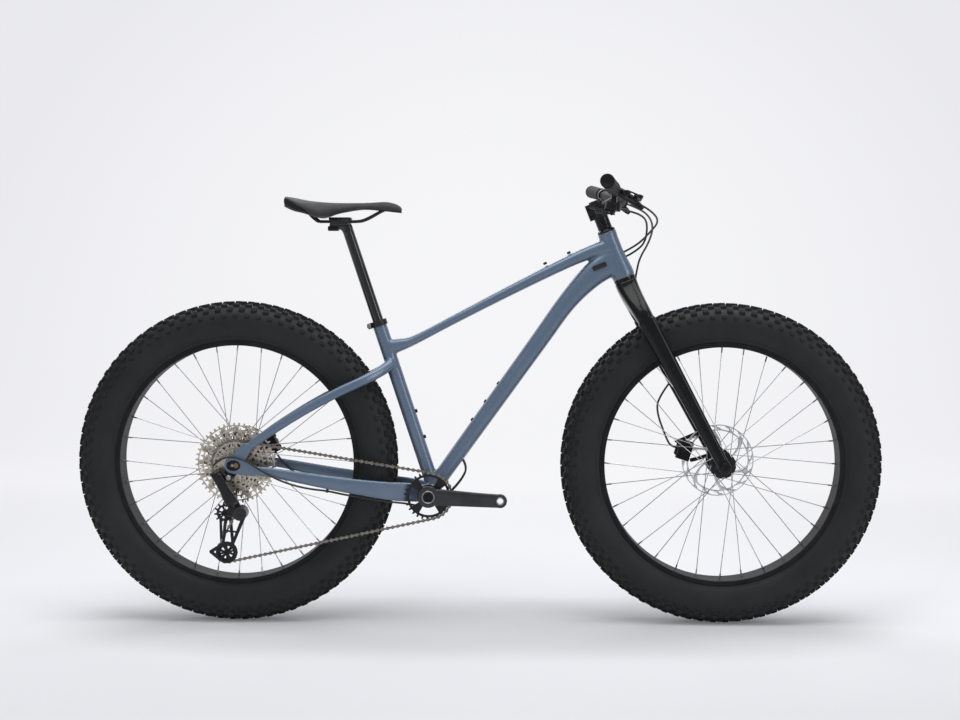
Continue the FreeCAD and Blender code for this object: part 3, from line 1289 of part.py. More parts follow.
rail_rise = 30.0
rail_nose = rail_centre + V(112.0, 0, rail_rise)
rail_tail = rail_centre + V(-92.0, 0, rail_rise - 8)
rail_points = [
    rail_tail + V(0, 40, 0),
    rail_tail + V(12, 36, -12),
    rail_centre + V(-60, rail_half_gap + 4, -rail_radius * 0.3),
    rail_centre + V(-44, rail_half_gap, 0),
    rail_centre + V(34, rail_half_gap, 0),
    rail_centre + V(62, rail_half_gap - 3, 5),
    rail_nose + V(-14, 11, -6),
    rail_nose + V(0, 9, 0),
]
rail_straight = rod(rail_points[3], rail_points[4], rail_radius)
rail_rear = cord("rail tail", [rail_points[3], rail_points[2], rail_points[1], rail_points[0]], rail_radius)
rail_front = cord("rail nose", [rail_points[4], rail_points[5], rail_points[6], rail_points[7]], rail_radius)

saddle_rear = rail_centre.x - 135.0
saddle_top = rail_centre.z + 50.0


def saddle_outline(share, half, top, edge, lift):
    """Cross section of the saddle at a share of its length: crowned top, round sides, flat underside."""
    x = saddle_rear + saddle_length * share
    base = saddle_top - edge
    crown = saddle_top + top
    rim_z = crown - lift
    low_left = V(x, -half * 0.86, base)
    low_right = V(x, half * 0.86, base)
    side_left = V(x, -half * 0.9, rim_z)
    side_right = V(x, half * 0.9, rim_z)
    return Part.Wire([
        Part.LineSegment(low_left, low_right).toShape(),
        Part.Arc(low_right, V(x, half, (base + rim_z) / 2), side_right).toShape(),
        Part.Arc(side_right, V(x, 0, crown), side_left).toShape(),
        Part.Arc(side_left, V(x, -half, (base + rim_z) / 2), low_left).toShape(),
    ])


wide = saddle_width / 2
saddle_shares = [
    (0.0, wide * 0.62, 8.0, 14.0, 4.0),
    (0.1, wide * 0.94, 5.0, 22.0, 9.0),
    (0.25, wide, 0.0, 30.0, 13.0),
    (0.42, wide * 0.72, -3.0, 29.0, 11.0),
    (0.6, wide * 0.42, -2.5, 25.0, 9.0),
    (0.8, wide * 0.29, -1.0, 24.0, 8.0),
    (0.93, wide * 0.25, -3.0, 24.0, 7.0),
    (1.0, wide * 0.15, -12.0, 24.0, 4.0),
]
saddle_pad = Part.makeLoft([saddle_outline(*row) for row in saddle_shares], True, False)
save("saddle_pad", saddle_pad)
shell_thickness = 3.0


def shell_outline(share, half, edge):
    x = saddle_rear + saddle_length * share
    top = saddle_top - edge - part_gap
    corners = [V(x, -half, top), V(x, half, top), V(x, half * 0.9, top - shell_thickness),
               V(x, -half * 0.9, top - shell_thickness)]
    return Part.makePolygon(corners + [corners[0]])


shell_rows = [(share, half * 0.84, edge) for share, half, top, edge, lift in saddle_shares]
saddle_shell = Part.makeLoft([shell_outline(*row) for row in shell_rows], True, False).cut(saddle_pad)
rail = rail_straight.fuse([rail_rear, rail_front]).removeSplitter().cut(saddle_shell).cut(saddle_pad)
rail = max(rail.Solids, key=lambda s: s.Volume)
save("saddle_shell", max(saddle_shell.Solids, key=lambda s: s.Volume))
save("saddle_rails", rail, mirrored(rail))

# Cable housing and brake hoses. Those from the right-hand controls loop round the head tube to the far port
cord_radius = 2.5
cord_space = 1.5
under_stay = cord_radius + cord_space


def flipped(point):
    return V(point.x, -point.y, point.z)


hose_start = flipped(master_in)
hose_lead = flipped(master_in - end_along * 30)
port_mouth = port_at + port_along * 16 + left * 29
rear_hose = [
    hose_start,
    hose_lead,
    hose_lead + V(25, 42, -12),
    hose_lead + V(60, 82, -30),
    hose_lead + V(80, 127, -52),
    port_mouth + V(112, -20, 72),
    port_mouth + V(88, 5, 46),
    port_mouth + V(56, 14, 27),
    port_mouth + V(26, 11, 12),
    port_mouth,
]
pod_mid = paddle_centre - pod_down * (pod_height / 2)
housing_start = flipped(pod_mid - end_along * 18.5)
housing_lead = flipped(pod_mid - end_along * 42)
housing_mouth = port_mouth + V(-4, 0, -9)
shift_housing = [
    housing_start,
    housing_lead,
    housing_lead + V(30, 34, -4),
    housing_lead + V(68, 66, -14),
    housing_lead + V(86, 106, -32),
    housing_mouth + V(106, -24, 58),
    housing_mouth + V(84, 2, 36),
    housing_mouth + V(54, 13, 19),
    housing_mouth + V(25, 11, 7),
    housing_mouth,
]
save("control_cables", cord("rear hose, upper", rear_hose, cord_radius),
     cord("shift housing, upper", shift_housing, cord_radius).cut(mirrored(shifter)))
front_lead = master_in - end_along * 30
crown_entry = blade_top + blade_along * 14 + left * 58 + crown_front * 8
front_upper = [
    master_in,
    front_lead,
    front_lead + V(28, -34, -11),
    front_lead + V(62, -67, -30),
    front_lead + V(76, -91, -62),
    front_lead + V(64, -105, -102),
    crown_entry + V(14, -4, 92),
    crown_entry + V(6, -8, 56),
    crown_entry + V(2, -4, 26),
    crown_entry,
]
loop_top = mix(crown_spread, front_axle, 0.44) - crown_front * 14 + left * (blade_y + 4)
loop_end = front_caliper_at + front_radial * 8 + left * 3
front_lower = [
    loop_top,
    loop_top + V(-22, 0, -30),
    loop_top + V(-35, -6, -66),
    loop_end + V(-34, 7, 24),
    loop_end + V(-22, 2, 4),
    loop_end,
]
front_hose = cord("front hose, upper", front_upper, cord_radius).cut(fork)
front_loop = cord("front hose, lower", front_lower, cord_radius).cut(fork).cut(front_body)
save("front_brake_hose", *[max(piece.Solids, key=lambda s: s.Volume) for piece in (front_hose, front_loop)])

# The same two lines where they leave the down tube, pass under the bottom bracket and follow the chainstays
exit_at = mix(bb, down_knee, 0.2) + V(14, 0, -11)


def below_stay(k):
    centre, half_side, half_up = chainstay_stations[k]
    return centre - V(0, 0, half_up + under_stay)


line_start = [
    exit_at + V(0, 9, 0),
    exit_at + V(12, 9, -20),
    exit_at + V(-2, 10, -50),
    exit_at + V(-32, 14, -84),
    bb + V(18, 28, -bb_shell_radius - under_stay - 2),
    bb + V(-24, 42, -bb_shell_radius - under_stay - 2),
    below_stay(5),
    below_stay(4),
    below_stay(3),
    mix(below_stay(3), below_stay(2), 0.5) + V(0, 0, -1.5),
    below_stay(2),
]
rear_side = V(rear_axle.x, hub_half + dropout_thickness + cord_radius + 3, rear_axle.z)
housing_low = [flipped(point) for point in line_start] + [
    flipped(rear_side + V(185, -14, -57)),
    flipped(rear_side + V(143, -4, -46)),
    flipped(rear_side + V(103, 0, -30)),
    flipped(rear_side + V(65, 0, -8)),
    flipped(rear_side + V(30, 0, 15)),
    flipped(rear_side + V(-7, 0, 24)),
    flipped(rear_side + V(-35, 0, 13)),
    flipped(rear_side + V(-46, 0, 0)),
]
caliper_foot = rear_caliper_at - rear_radial * 4 + rear_radial.cross(left) * -caliper_half_length + left * 7
hose_low = line_start + [
    rear_side + V(166, -21, -50),
    rear_side + V(130, -28, -42),
    caliper_foot + V(19, -3, -28),
    caliper_foot + V(-2, 0, 4),
]
rear_housing = cord("shift housing, lower", housing_low, cord_radius).cut(down_core)
rear_hose_low = cord("rear hose, lower", hose_low, cord_radius).cut(down_core).cut(rear_body)
clips = []
for k, side in ((2, -1), (2, 1), (3, -1), (3, 1)):
    at = below_stay(k)
    aim = unit(below_stay(k - 1) - below_stay(k + 1))
    clip = pipe(at - aim * 3, at + aim * 3, cord_radius + 2.2, cord_radius)
    clip = clip if side == 1 else mirrored(clip)
    clips.append(clip)
pieces = [max(piece.Solids, key=lambda s: s.Volume) for piece in (rear_housing, rear_hose_low)]
for clip in clips:
    for solid in stays + pieces:
        clip = clip.cut(solid)
    pieces.append(max(clip.Solids, key=lambda s: s.Volume))
save("rear_cables", *pieces)
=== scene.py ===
import math
import bmesh
import bpy
from mathutils import Matrix, Vector


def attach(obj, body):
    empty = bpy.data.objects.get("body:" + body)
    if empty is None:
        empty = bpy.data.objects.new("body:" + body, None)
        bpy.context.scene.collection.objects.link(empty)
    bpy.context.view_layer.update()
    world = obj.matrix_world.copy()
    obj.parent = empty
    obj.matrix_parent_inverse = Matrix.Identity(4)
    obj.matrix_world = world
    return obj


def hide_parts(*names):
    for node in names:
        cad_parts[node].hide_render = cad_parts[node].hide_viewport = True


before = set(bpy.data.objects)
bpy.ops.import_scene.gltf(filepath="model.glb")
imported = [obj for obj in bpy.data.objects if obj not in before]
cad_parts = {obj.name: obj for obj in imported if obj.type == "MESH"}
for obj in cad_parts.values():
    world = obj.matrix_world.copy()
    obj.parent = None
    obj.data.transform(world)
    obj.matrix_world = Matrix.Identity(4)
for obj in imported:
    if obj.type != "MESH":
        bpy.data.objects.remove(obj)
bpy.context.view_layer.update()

# The studio is a seamless pale sweep: a floor that bends up into a wall behind the bicycle. Its colour carries
# painted shading, darker towards the front, and a painted shadow under the bicycle. To the camera and in reflections
# it glows, a painted light with a painted vignette. Broad soft lamps hang over it, and the camera stands square to
# the drive side.


class Tone:
    """A value in a finish; + - * / and ** on it add Math nodes."""

    def __init__(self, finish, socket):
        self.finish = finish
        self.socket = socket

    def math(self, operation, first, second):
        return self.finish.node("Math", {0: first, 1: second}, operation=operation)

    def __add__(self, other):
        return self.math("ADD", self, other)

    def __sub__(self, other):
        return self.math("SUBTRACT", self, other)

    def __mul__(self, other):
        return self.math("MULTIPLY", self, other)

    def __truediv__(self, other):
        return self.math("DIVIDE", self, other)

    def __pow__(self, other):
        return self.math("POWER", self, other)

    __radd__ = __add__


class Finish:
    """One surface finish: a material whose nodes are added by name."""

    def __init__(self, name, **sockets):
        self.material = bpy.data.materials.new(name)
        self.material.use_nodes = True
        self.tree = self.material.node_tree
        self.shader = self.tree.nodes["Principled BSDF"]
        self.surface(**sockets)

    def node(self, kind, sockets, output=0, stops=(), **settings):
        made = self.tree.nodes.new("ShaderNode" + kind)
        for key, value in settings.items():
            setattr(made, key, value)
        for k, (place, colour) in enumerate(stops):
            elements = made.color_ramp.elements
            stop = elements[k] if k < 2 else elements.new(place)
            stop.position = place
            stop.color = (*colour, 1.0)
        for key, value in sockets.items():
            self.feed(made.inputs[key], value)
        return Tone(self, made.outputs[output])

    def feed(self, socket, value):
        if isinstance(value, Tone):
            self.tree.links.new(value.socket, socket)
        elif isinstance(value, tuple) and len(socket.default_value) > len(value):
            socket.default_value = (*value, 1.0)
        else:
            socket.default_value = value

    def surface(self, **sockets):
        for key, value in sockets.items():
            self.feed(self.shader.inputs[key.replace("_", " ")], value)

    def place(self):
        """Where a point of the piece is, in metres."""
        return self.node("TexCoord", {}, "Object")

    def along(self, axis, place=None):
        """One coordinate of a point, from the origin or from another place."""
        return self.node("SeparateXYZ", {0: place or self.place()}, axis)

    def noise(self, scale, detail=3.0):
        return self.node("TexNoise", {"Vector": self.place(), "Scale": scale, "Detail": detail})

    def ramp(self, value, *stops):
        return self.node("ValToRGB", {"Fac": value}, stops=stops)

    def spread(self, value, low, high, low_to=0.0, high_to=1.0, **settings):
        """A value stretched from one range to another and held at both ends."""
        limits = {"From Min": low, "From Max": high, "To Min": low_to, "To Max": high_to}
        return self.node("MapRange", {"Value": value, **limits}, **settings)

    def bump(self, height, strength, depth):
        bumped = self.node("Bump", {"Height": height, "Strength": strength, "Distance": depth})
        self.surface(Normal=bumped)


paper = Finish("seamless_paper", Roughness=0.9, Specular_IOR_Level=0.1)
width, depth, rise = (paper.along(axis) for axis in "XYZ")
# Painted shading: the floor's colour darkens towards the front and is lighter further back.
painted_depth_shade = paper.ramp(
    paper.spread(depth, -1.0, 1.0),
    (0.05, (0.69, 0.69, 0.715)), (0.33, (0.75, 0.75, 0.777)), (0.56, (0.865, 0.865, 0.895)),
)
# Painted shadow: a soft pool under the bicycle darkens the floor's colour to 72 per cent at its middle.
shadow_pool_reach = (width / 0.85) ** 4.0 + ((depth + 0.07) / 0.26) ** 2.0
shade = paper.spread(shadow_pool_reach, 0.0, 2.6, 0.72, 1.0, interpolation_type="SMOOTHSTEP")
paper.surface(Base_Color=paper.node("VectorMath", {0: painted_depth_shade, "Scale": shade}, operation="SCALE"))
# Painted light: the paper glows to camera, mirror and transmission rays, more the further back it lies, with a
# painted vignette that darkens the glow towards the edges.
edge = (width / 3.2) ** 2.0 + ((rise - 0.7) / 2.6) ** 2.0
glow = paper.ramp(edge, (0.0, (0.955, 0.955, 0.970)), (0.9, (0.845, 0.845, 0.885)))
pale = paper.node("Emission", {"Color": glow, "Strength": 1.0})
rays = paper.tree.nodes.new("ShaderNodeLightPath")
looked_at = sum(Tone(paper, rays.outputs["Is " + kind + " Ray"]) for kind in ("Camera", "Glossy", "Transmission"))
seen = looked_at * paper.spread(depth, 0.6, 2.6, 0.12, 0.93)
lit = Tone(paper, paper.shader.outputs[0])
paper_look = paper.node("MixShader", {0: seen, 1: lit, 2: pale})
paper.tree.links.new(paper_look.socket, paper.tree.nodes["Material Output"].inputs["Surface"])
half_width, front_edge, bend_start, bend_radius, wall_top = 14, -9, 4, 2.5, 9
profile = [(front_edge, 0), (bend_start, 0)]
for k in range(1, 13):
    bend = math.radians(90 * k / 12)
    profile.append((bend_start + bend_radius * math.sin(bend), bend_radius - bend_radius * math.cos(bend)))
profile.append((bend_start + bend_radius, wall_top))
bm = bmesh.new()
sweep = [bm.verts.new((-half_width, y, z)) for y, z in profile]
sweep_edges = [bm.edges.new(pair) for pair in zip(sweep, sweep[1:])]
drawn = bmesh.ops.extrude_edge_only(bm, edges=sweep_edges)["geom"]
far_edge = [v for v in drawn if isinstance(v, bmesh.types.BMVert)]
bmesh.ops.translate(bm, verts=far_edge, vec=(2 * half_width, 0, 0))
bmesh.ops.recalc_face_normals(bm, faces=bm.faces)
paper_mesh = bpy.data.meshes.new("seamless_sweep")
bm.to_mesh(paper_mesh)
bm.free()
paper_mesh.materials.append(paper.material)
paper_mesh.shade_smooth()
backdrop = bpy.data.objects.new("seamless_sweep", paper_mesh)
bpy.context.collection.objects.link(backdrop)

world = bpy.data.worlds.new("studio_air")
bpy.context.scene.world = world
world.use_nodes = True
air = world.node_tree.nodes["Background"]
air.inputs["Color"].default_value = (0.90, 0.92, 0.97, 1.0)
air.inputs["Strength"].default_value = 0.36


def softbox(name, at, aim, size, power):
    """A square lamp panel at one point, facing another."""
    lamp = bpy.data.lights.new(name, "AREA")
    lamp.shape = "RECTANGLE"
    lamp.size, lamp.size_y = size
    lamp.energy = power
    panel = bpy.data.objects.new(name, lamp)
    panel.location = at
    panel.rotation_euler = (Vector(aim) - Vector(at)).to_track_quat("-Z", "Y").to_euler()
    bpy.context.collection.objects.link(panel)
    return panel


softbox("overhead_panel", (0.2, -0.6, 3.6), (0, 0, 0.4), (4.2, 2.6), 104)
softbox("front_panel", (-2.2, -4.0, 2.6), (0, 0, 0.6), (2.2, 2.4), 52).visible_glossy = False
softbox("right_panel", (3.4, -2.6, 1.8), (0.3, 0, 0.6), (1.2, 2.4), 30)
softbox("back_panel", (-0.5, 2.8, 2.6), (0, 0, 0.6), (3.0, 1.0), 26)

picture_width, focal_length, sensor_width = 960, 1829.9, 36.0
camera_at = Vector((0.0734, -4.5, 0.9201))
yaw, pitch, roll = (math.radians(angle) for angle in (-0.92, 3.46, 0.19))
camera_data = bpy.data.cameras.new("side_camera")
camera_data.sensor_width = sensor_width
camera_data.lens = sensor_width * focal_length / picture_width
camera = bpy.data.objects.new("side_camera", camera_data)
ahead = Vector((math.sin(yaw), math.cos(yaw), 0)) * math.cos(pitch) - Vector((0, 0, math.sin(pitch)))
level = Vector((math.cos(yaw), -math.sin(yaw), 0))
rightward = level * math.cos(roll) + level.cross(ahead) * math.sin(roll)
facing = Matrix((rightward, rightward.cross(ahead), -ahead)).transposed()
camera.matrix_world = Matrix.Translation(camera_at) @ facing.to_4x4()
bpy.context.collection.objects.link(camera)
bpy.context.scene.camera = camera
bpy.context.scene.view_settings.view_transform = "Standard"


# The frame is welded from shaped aluminium tubes: head, top, down and seat tube, bottom bracket shell and four
# stays. The welds are dressed smooth and the whole is sprayed slate blue under a clear coat.
def P(x, y, z):
    """A point or a step given in millimetres."""
    return Vector((x, y, z)) * 0.001


def mix(a, b, t):
    """The place a share of the way from one to another."""
    return a + (b - a) * t


def steps_between(stations, count):
    """More stations on a smooth line through the given ones."""
    made = []
    last = len(stations) - 1
    for k in range(last):
        around = [stations[min(max(k + n, 0), last)] for n in (-1, 0, 1, 2)]
        for n in range(count):
            t = n / count
            row = []
            for a, b, c, d in zip(*around):
                row.append(b + (c - a) * (0.5 * t) + (a * 2 - b * 5 + c * 4 - d) * (0.5 * t * t)
                           + (b * 3 - a - c * 3 + d) * (0.5 * t**3))
            made.append(tuple(row))
    return made + [stations[-1]]


def loft(bm, stations, power=2.0, steps=28, count=4, side=Vector((0, 1, 0))):
    """Closed tube through stations of (centre, half width, half height); a high power squares its section."""
    rows = steps_between(stations, count)
    loops = []
    for k, (centre, half_side, half_up) in enumerate(rows):
        along = (rows[min(k + 1, len(rows) - 1)][0] - rows[max(k - 1, 0)][0]).normalized()
        across = (side - along * along.dot(side)).normalized()
        up = across.cross(along)
        circle = bmesh.ops.create_circle(bm, segments=steps, radius=1.0)["verts"]
        for v in circle:
            c, s = v.co.x, v.co.y
            c = math.copysign(abs(c) ** (2 / power), c) * half_side
            s = math.copysign(abs(s) ** (2 / power), s) * half_up
            v.co = centre + across * c + up * s
        loops.append(list({e for v in circle for e in v.link_edges}))
    for near, far in zip(loops, loops[1:]):
        bmesh.ops.bridge_loops(bm, edges=near + far)
    for end in (loops[0], loops[-1]):
        bmesh.ops.edgeloop_fill(bm, edges=end)


def standing(origin, axis):
    """The placing that stands the Z axis along another axis, at a point."""
    return Matrix.Translation(origin) @ Vector((0, 0, 1)).rotation_difference(axis).to_matrix().to_4x4()


def turn(bm, profile, origin, axis, steps=48):
    """Turned solid from (distance along the axis, radius) points in millimetres."""
    others = set(bm.verts)
    chain = [bm.verts.new(P(r, 0, z)) for z, r in profile]
    edges = [bm.edges.new(pair) for pair in zip(chain, chain[1:])]
    bmesh.ops.spin(bm, geom=chain + edges, cent=(0, 0, 0), axis=(0, 0, 1), angle=2 * math.pi, steps=steps,
                   use_merge=True)
    made = [v for v in bm.verts if v not in others]
    bmesh.ops.transform(bm, matrix=standing(origin, axis), verts=made)
    return made


def piece(name, bm, finish, body, replaces=(), sharp=35.0):
    """Turns a bmesh into a finished object that moves with its body."""
    bmesh.ops.remove_doubles(bm, verts=bm.verts, dist=1e-6)
    bmesh.ops.recalc_face_normals(bm, faces=bm.faces)
    mesh = bpy.data.meshes.new(name)
    bm.to_mesh(mesh)
    bm.free()
    for one in finish if isinstance(finish, list) else [finish]:
        mesh.materials.append(one.material)
    mesh.shade_smooth()
    mesh.set_sharp_from_angle(angle=math.radians(sharp))
    made = bpy.data.objects.new(name, mesh)
    bpy.context.collection.objects.link(made)
    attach(made, body)
    if replaces:
        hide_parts(*replaces)
    return made


def melted(bm, grain, rounds):
    """Joins overlapping shells into one skin with soft fillets where they meet."""
    mesh = bpy.data.meshes.new("melted")
    bmesh.ops.recalc_face_normals(bm, faces=bm.faces)
    bm.to_mesh(mesh)
    bm.free()
    lump = bpy.data.objects.new("melted", mesh)
    bpy.context.collection.objects.link(lump)
    skin = lump.modifiers.new("skin", "REMESH")
    skin.mode = "VOXEL"
    skin.voxel_size = grain
    soften = lump.modifiers.new("soften", "SMOOTH")
    soften.factor = 0.5
    soften.iterations = rounds
    joined = bpy.data.meshes.new_from_object(lump.evaluated_get(bpy.context.evaluated_depsgraph_get()))
    result = bmesh.new()
    result.from_mesh(joined)
    bpy.data.objects.remove(lump)
    bpy.data.meshes.remove(mesh)
    bpy.data.meshes.remove(joined)
    return result


slate_paint = Finish("slate_paint", Metallic=0.25, Coat_Weight=0.55, Coat_Roughness=0.12)
flake = slate_paint.noise(2600.0, 1.0)
drift = slate_paint.noise(9.0, 2.0)
deep_slate, pale_slate = (0.088, 0.133, 0.200), (0.118, 0.168, 0.240)
slate_paint.surface(
    Base_Color=slate_paint.ramp(drift * 0.7 + flake * 0.3, (0.25, deep_slate), (0.75, pale_slate)),
    Roughness=slate_paint.noise(60.0) * 0.1 + 0.3,
)
slate_paint.bump(slate_paint.noise(700.0, 2.0), 0.05, 0.0003)
left = Vector((0, 1, 0))
rear_axle = P(-595, 0, 396)
front_axle = P(595, 0, 396)
bottom_bracket = P(-122.23, 0, 319)
head_angle, seat_angle = math.radians(68.5), math.radians(71.5)
fork_rake, fork_length, race_height, head_length, seat_tube_length = 0.057, 0.505, 0.008, 0.119, 0.442
steer_up = Vector((-math.cos(head_angle), 0, math.sin(head_angle)))
steer_forward = Vector((math.sin(head_angle), 0, math.cos(head_angle)))
crown_race = front_axle - steer_forward * fork_rake + steer_up * fork_length
head_bottom = crown_race + steer_up * race_height
head_top = head_bottom + steer_up * head_length
seat_up = Vector((-math.cos(seat_angle), 0, math.sin(seat_angle)))
seat_forward = Vector((seat_up.z, 0, -seat_up.x))
seat_foot = bottom_bracket + seat_forward * 0.0135
seat_top = seat_foot + seat_up * seat_tube_length
down_joint = mix(head_bottom, head_top, 0.42)
down_knee = down_joint + P(-121, 0, -107)
top_rear = seat_top - seat_up * 0.066
top_front = mix(head_bottom, head_top, 0.7)
chainstay_end = rear_axle + P(50, 0, -13)
chainstay_run = bottom_bracket - chainstay_end
seatstay_end = rear_axle + P(33, 0, 42)
seatstay_run = seat_top - seat_up * 0.108 - seatstay_end
tubes = bmesh.new()
down_rows = [(mix(bottom_bracket, down_knee, share), half, half_up) for share, half, half_up in (
    (0.0, 0.036, 0.0195), (0.12, 0.029, 0.0195), (0.4, 0.025, 0.0205), (0.8, 0.0245, 0.022),
    (1.0, 0.0245, 0.0235))]
down_rows += [(mix(down_knee, down_joint, 0.55) + P(-4, 0, 8), 0.024, 0.030), (down_joint, 0.022, 0.036)]
loft(tubes, down_rows, 2.6)
loft(tubes, [(mix(top_rear, top_front, share) + P(0, 0, lift), half, half_up) for share, lift, half, half_up in (
    (0.0, -3, 0.0165, 0.021), (0.06, -10, 0.0165, 0.016), (0.13, -14, 0.0165, 0.0115), (0.3, -7, 0.0175, 0.0112),
    (0.55, 2.5, 0.019, 0.0128), (0.8, 9, 0.0205, 0.015), (0.93, 7, 0.021, 0.0175), (1.0, 0, 0.021, 0.02))], 2.5)
turn(tubes, [(0, 0), (0, 28), (14, 28), (65, 22.2), (105, 22.2), (107, 23), (119, 23), (119, 0)],
     head_bottom, steer_up)
turn(tubes, [(0, 0), (0, 17.45), (442, 17.45), (442, 0)], seat_foot, seat_up)
turn(tubes, [(-50, 0), (-50, 22), (50, 22), (50, 0)], bottom_bracket, left)
chainstay_rows = [
    (0.0, -6, 102.5, 1, 0.0055, 0.0115), (0.12, 0, 100.5, 2, 0.0068, 0.0125), (0.42, 0, 91.5, -2, 0.0076, 0.0165),
    (0.62, 0, 80.5, -3, 0.0076, 0.020), (0.76, 0, 69, -3, 0.0072, 0.0225), (0.87, 0, 53.5, -1, 0.0072, 0.0235),
    (0.97, 0, 35.5, 1, 0.008, 0.022)]
seatstay_rows = [
    (0.0, -4, 102.5, -5, 0.0055, 0.0095), (0.12, 0, 100.5, 5, 0.0068, 0.011), (0.38, 0, 93.5, 10, 0.0073, 0.0115),
    (0.62, 0, 81.5, 7, 0.0078, 0.0118), (0.79, 0, 68.5, 0, 0.0083, 0.012), (0.91, 0, 43.5, -4, 0.0092, 0.0125),
    (1.0, 0, 13.5, 0, 0.0105, 0.014)]
for sign in (1, -1):
    for foot, run, rows, power in ((chainstay_end, chainstay_run, chainstay_rows, 3.0),
                                   (seatstay_end, seatstay_run, seatstay_rows, 2.4)):
        loft(tubes, [(foot + run * share + P(x, y * sign, z), half, half_up)
                     for share, x, y, z, half, half_up in rows], power)
piece("painted_frame", melted(tubes, 0.0022, 10), slate_paint, "frame",
      ["head_tube", "top_tube", "down_tube", "seat_tube", "bottom_bracket_shell", "rear_stays"], 80)


# The dropouts are machined plates that the stays are welded to, painted with the frame. Their oval recess is
# left black round the axle's end, and a thin alloy hanger is held inside the drive-side plate.
def solid_of(node):
    """A bmesh of one node's solid, with its loose facets welded."""
    bm = bmesh.new()
    bm.from_mesh(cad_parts[node].data)
    bmesh.ops.remove_doubles(bm, verts=bm.verts, dist=1e-6)
    return bm


def cast(name, node, finish, body, grain, rounds, sharp=60.0):
    """One node's solid with the softened edges of a casting or moulding."""
    return piece(name, melted(solid_of(node), grain, rounds), finish, body, [node], sharp)


def chamfer(bm, edges, offset, segments, **more):
    bmesh.ops.bevel(bm, geom=edges, offset=offset, segments=segments, profile=0.5, affect="EDGES", material=-1,
                    **more)


def milled(name, node, finish, body, edge=0.0005):
    """One node's solid with its planes cleaned and a small chamfer along its sharp edges."""
    bm = solid_of(node)
    bmesh.ops.dissolve_limit(bm, angle_limit=math.radians(2), verts=bm.verts, edges=bm.edges)
    corners = [e for e in bm.edges if len(e.link_faces) == 2 and e.calc_face_angle(0) > math.radians(50)]
    chamfer(bm, corners, edge, 2, clamp_overlap=True)
    return piece(name, bm, finish, body, [node], 40)


def socket_bolt(bm, at, axis, radius, height, socket=0.55):
    """A round bolt head with a six-sided socket, standing on a face."""
    deep = height * 0.7
    wide = radius * socket
    shaped = turn(bm, [(-1.5, radius), (height - 0.8, radius), (height, radius - 0.8), (height, wide),
                       (height - deep, wide), (height - deep, 0)], Vector(), Vector((0, 0, 1)), 36)
    for v in shaped:
        reach = math.hypot(v.co.x, v.co.y)
        if abs(reach - wide * 0.001) < 1e-6:
            turned_by = math.atan2(v.co.y, v.co.x) % (math.pi / 3) - math.pi / 6
            v.co.xy *= math.cos(math.pi / 6) / math.cos(turned_by)
    bmesh.ops.transform(bm, matrix=standing(at, axis), verts=shaped)


def bolt_set(name, finish, body, bolts, replaces=()):
    """One piece made of several bolt heads, each given as (place, axis, radius, height)."""
    bm = bmesh.new()
    for bolt in bolts:
        socket_bolt(bm, *bolt)
    return piece(name, bm, finish, body, replaces)


def mottled(name, tint, rough, grain=None, **sockets):
    """A finish of two drifting tones (scale, dark, pale) with uneven roughness (scale, spread, least) and,
    if wanted, a fine grain (scale, strength, depth)."""
    made = Finish(name, **sockets)
    scale, dark, pale, *detail = tint
    made.surface(Base_Color=made.ramp(made.noise(scale, *detail), (0.3, dark), (0.7, pale)))
    scale, spread, least, *detail = rough
    made.surface(Roughness=made.noise(scale, *detail) * spread + least)
    if grain:
        scale, strength, depth = grain
        made.bump(made.noise(scale, 2.0), strength, depth)
    return made


satin_alloy = mottled(
    "satin_alloy", (40.0, (0.011, 0.011, 0.012), (0.020, 0.020, 0.022)), (900.0, 0.14, 0.34, 2.0),
    (2400.0, 0.06, 0.0002), Metallic=0.55, Coat_Weight=0.1)
bolt_steel = mottled("bolt_steel", (120.0, (0.30, 0.30, 0.31), (0.42, 0.42, 0.43)), (700.0, 0.2, 0.22),
                     Metallic=0.9)
black_steel = mottled("black_steel", (160.0, (0.010, 0.010, 0.010), (0.022, 0.021, 0.021)), (600.0, 0.2, 0.3),
                      Metallic=0.7)
brass = mottled("brass", (300.0, (0.20, 0.14, 0.075), (0.30, 0.22, 0.13)), (900.0, 0.2, 0.25), Metallic=1.0)
cast("painted_dropouts", "dropouts", slate_paint, "frame", 0.0009, 4)
milled("alloy_hanger", "derailleur_hanger", satin_alloy, "frame")
milled("rear_axle_rod", "rear_thru_axle", black_steel, "frame")
outer_face = -108.4
recess = bmesh.new()
plug = turn(recess, [(0, 0), (0, 14), (0.5, 14), (0.9, 13.4), (0.6, 12.2), (0.3, 0)], Vector(), -left, 64)
bmesh.ops.scale(recess, vec=(1.22, 1, 0.93), verts=plug)
bmesh.ops.translate(recess, vec=rear_axle + P(2, outer_face, 0), verts=plug)
piece("dropout_recess", recess, black_steel, "frame")
axle_end = bmesh.new()
turn(axle_end, [(0, 0), (0, 6.4), (1.3, 6.4), (1.7, 6.0), (1.7, 4.4), (1.0, 4.0), (1.0, 0)],
     rear_axle + P(8, outer_face, 0), -left, 40)
piece("axle_end_ring", axle_end, brass, "frame")
bolt_set("axle_end_socket", bolt_steel, "frame", [(rear_axle + P(-1, outer_face - 0.2, 0), -left, 3.6, 1.6)])

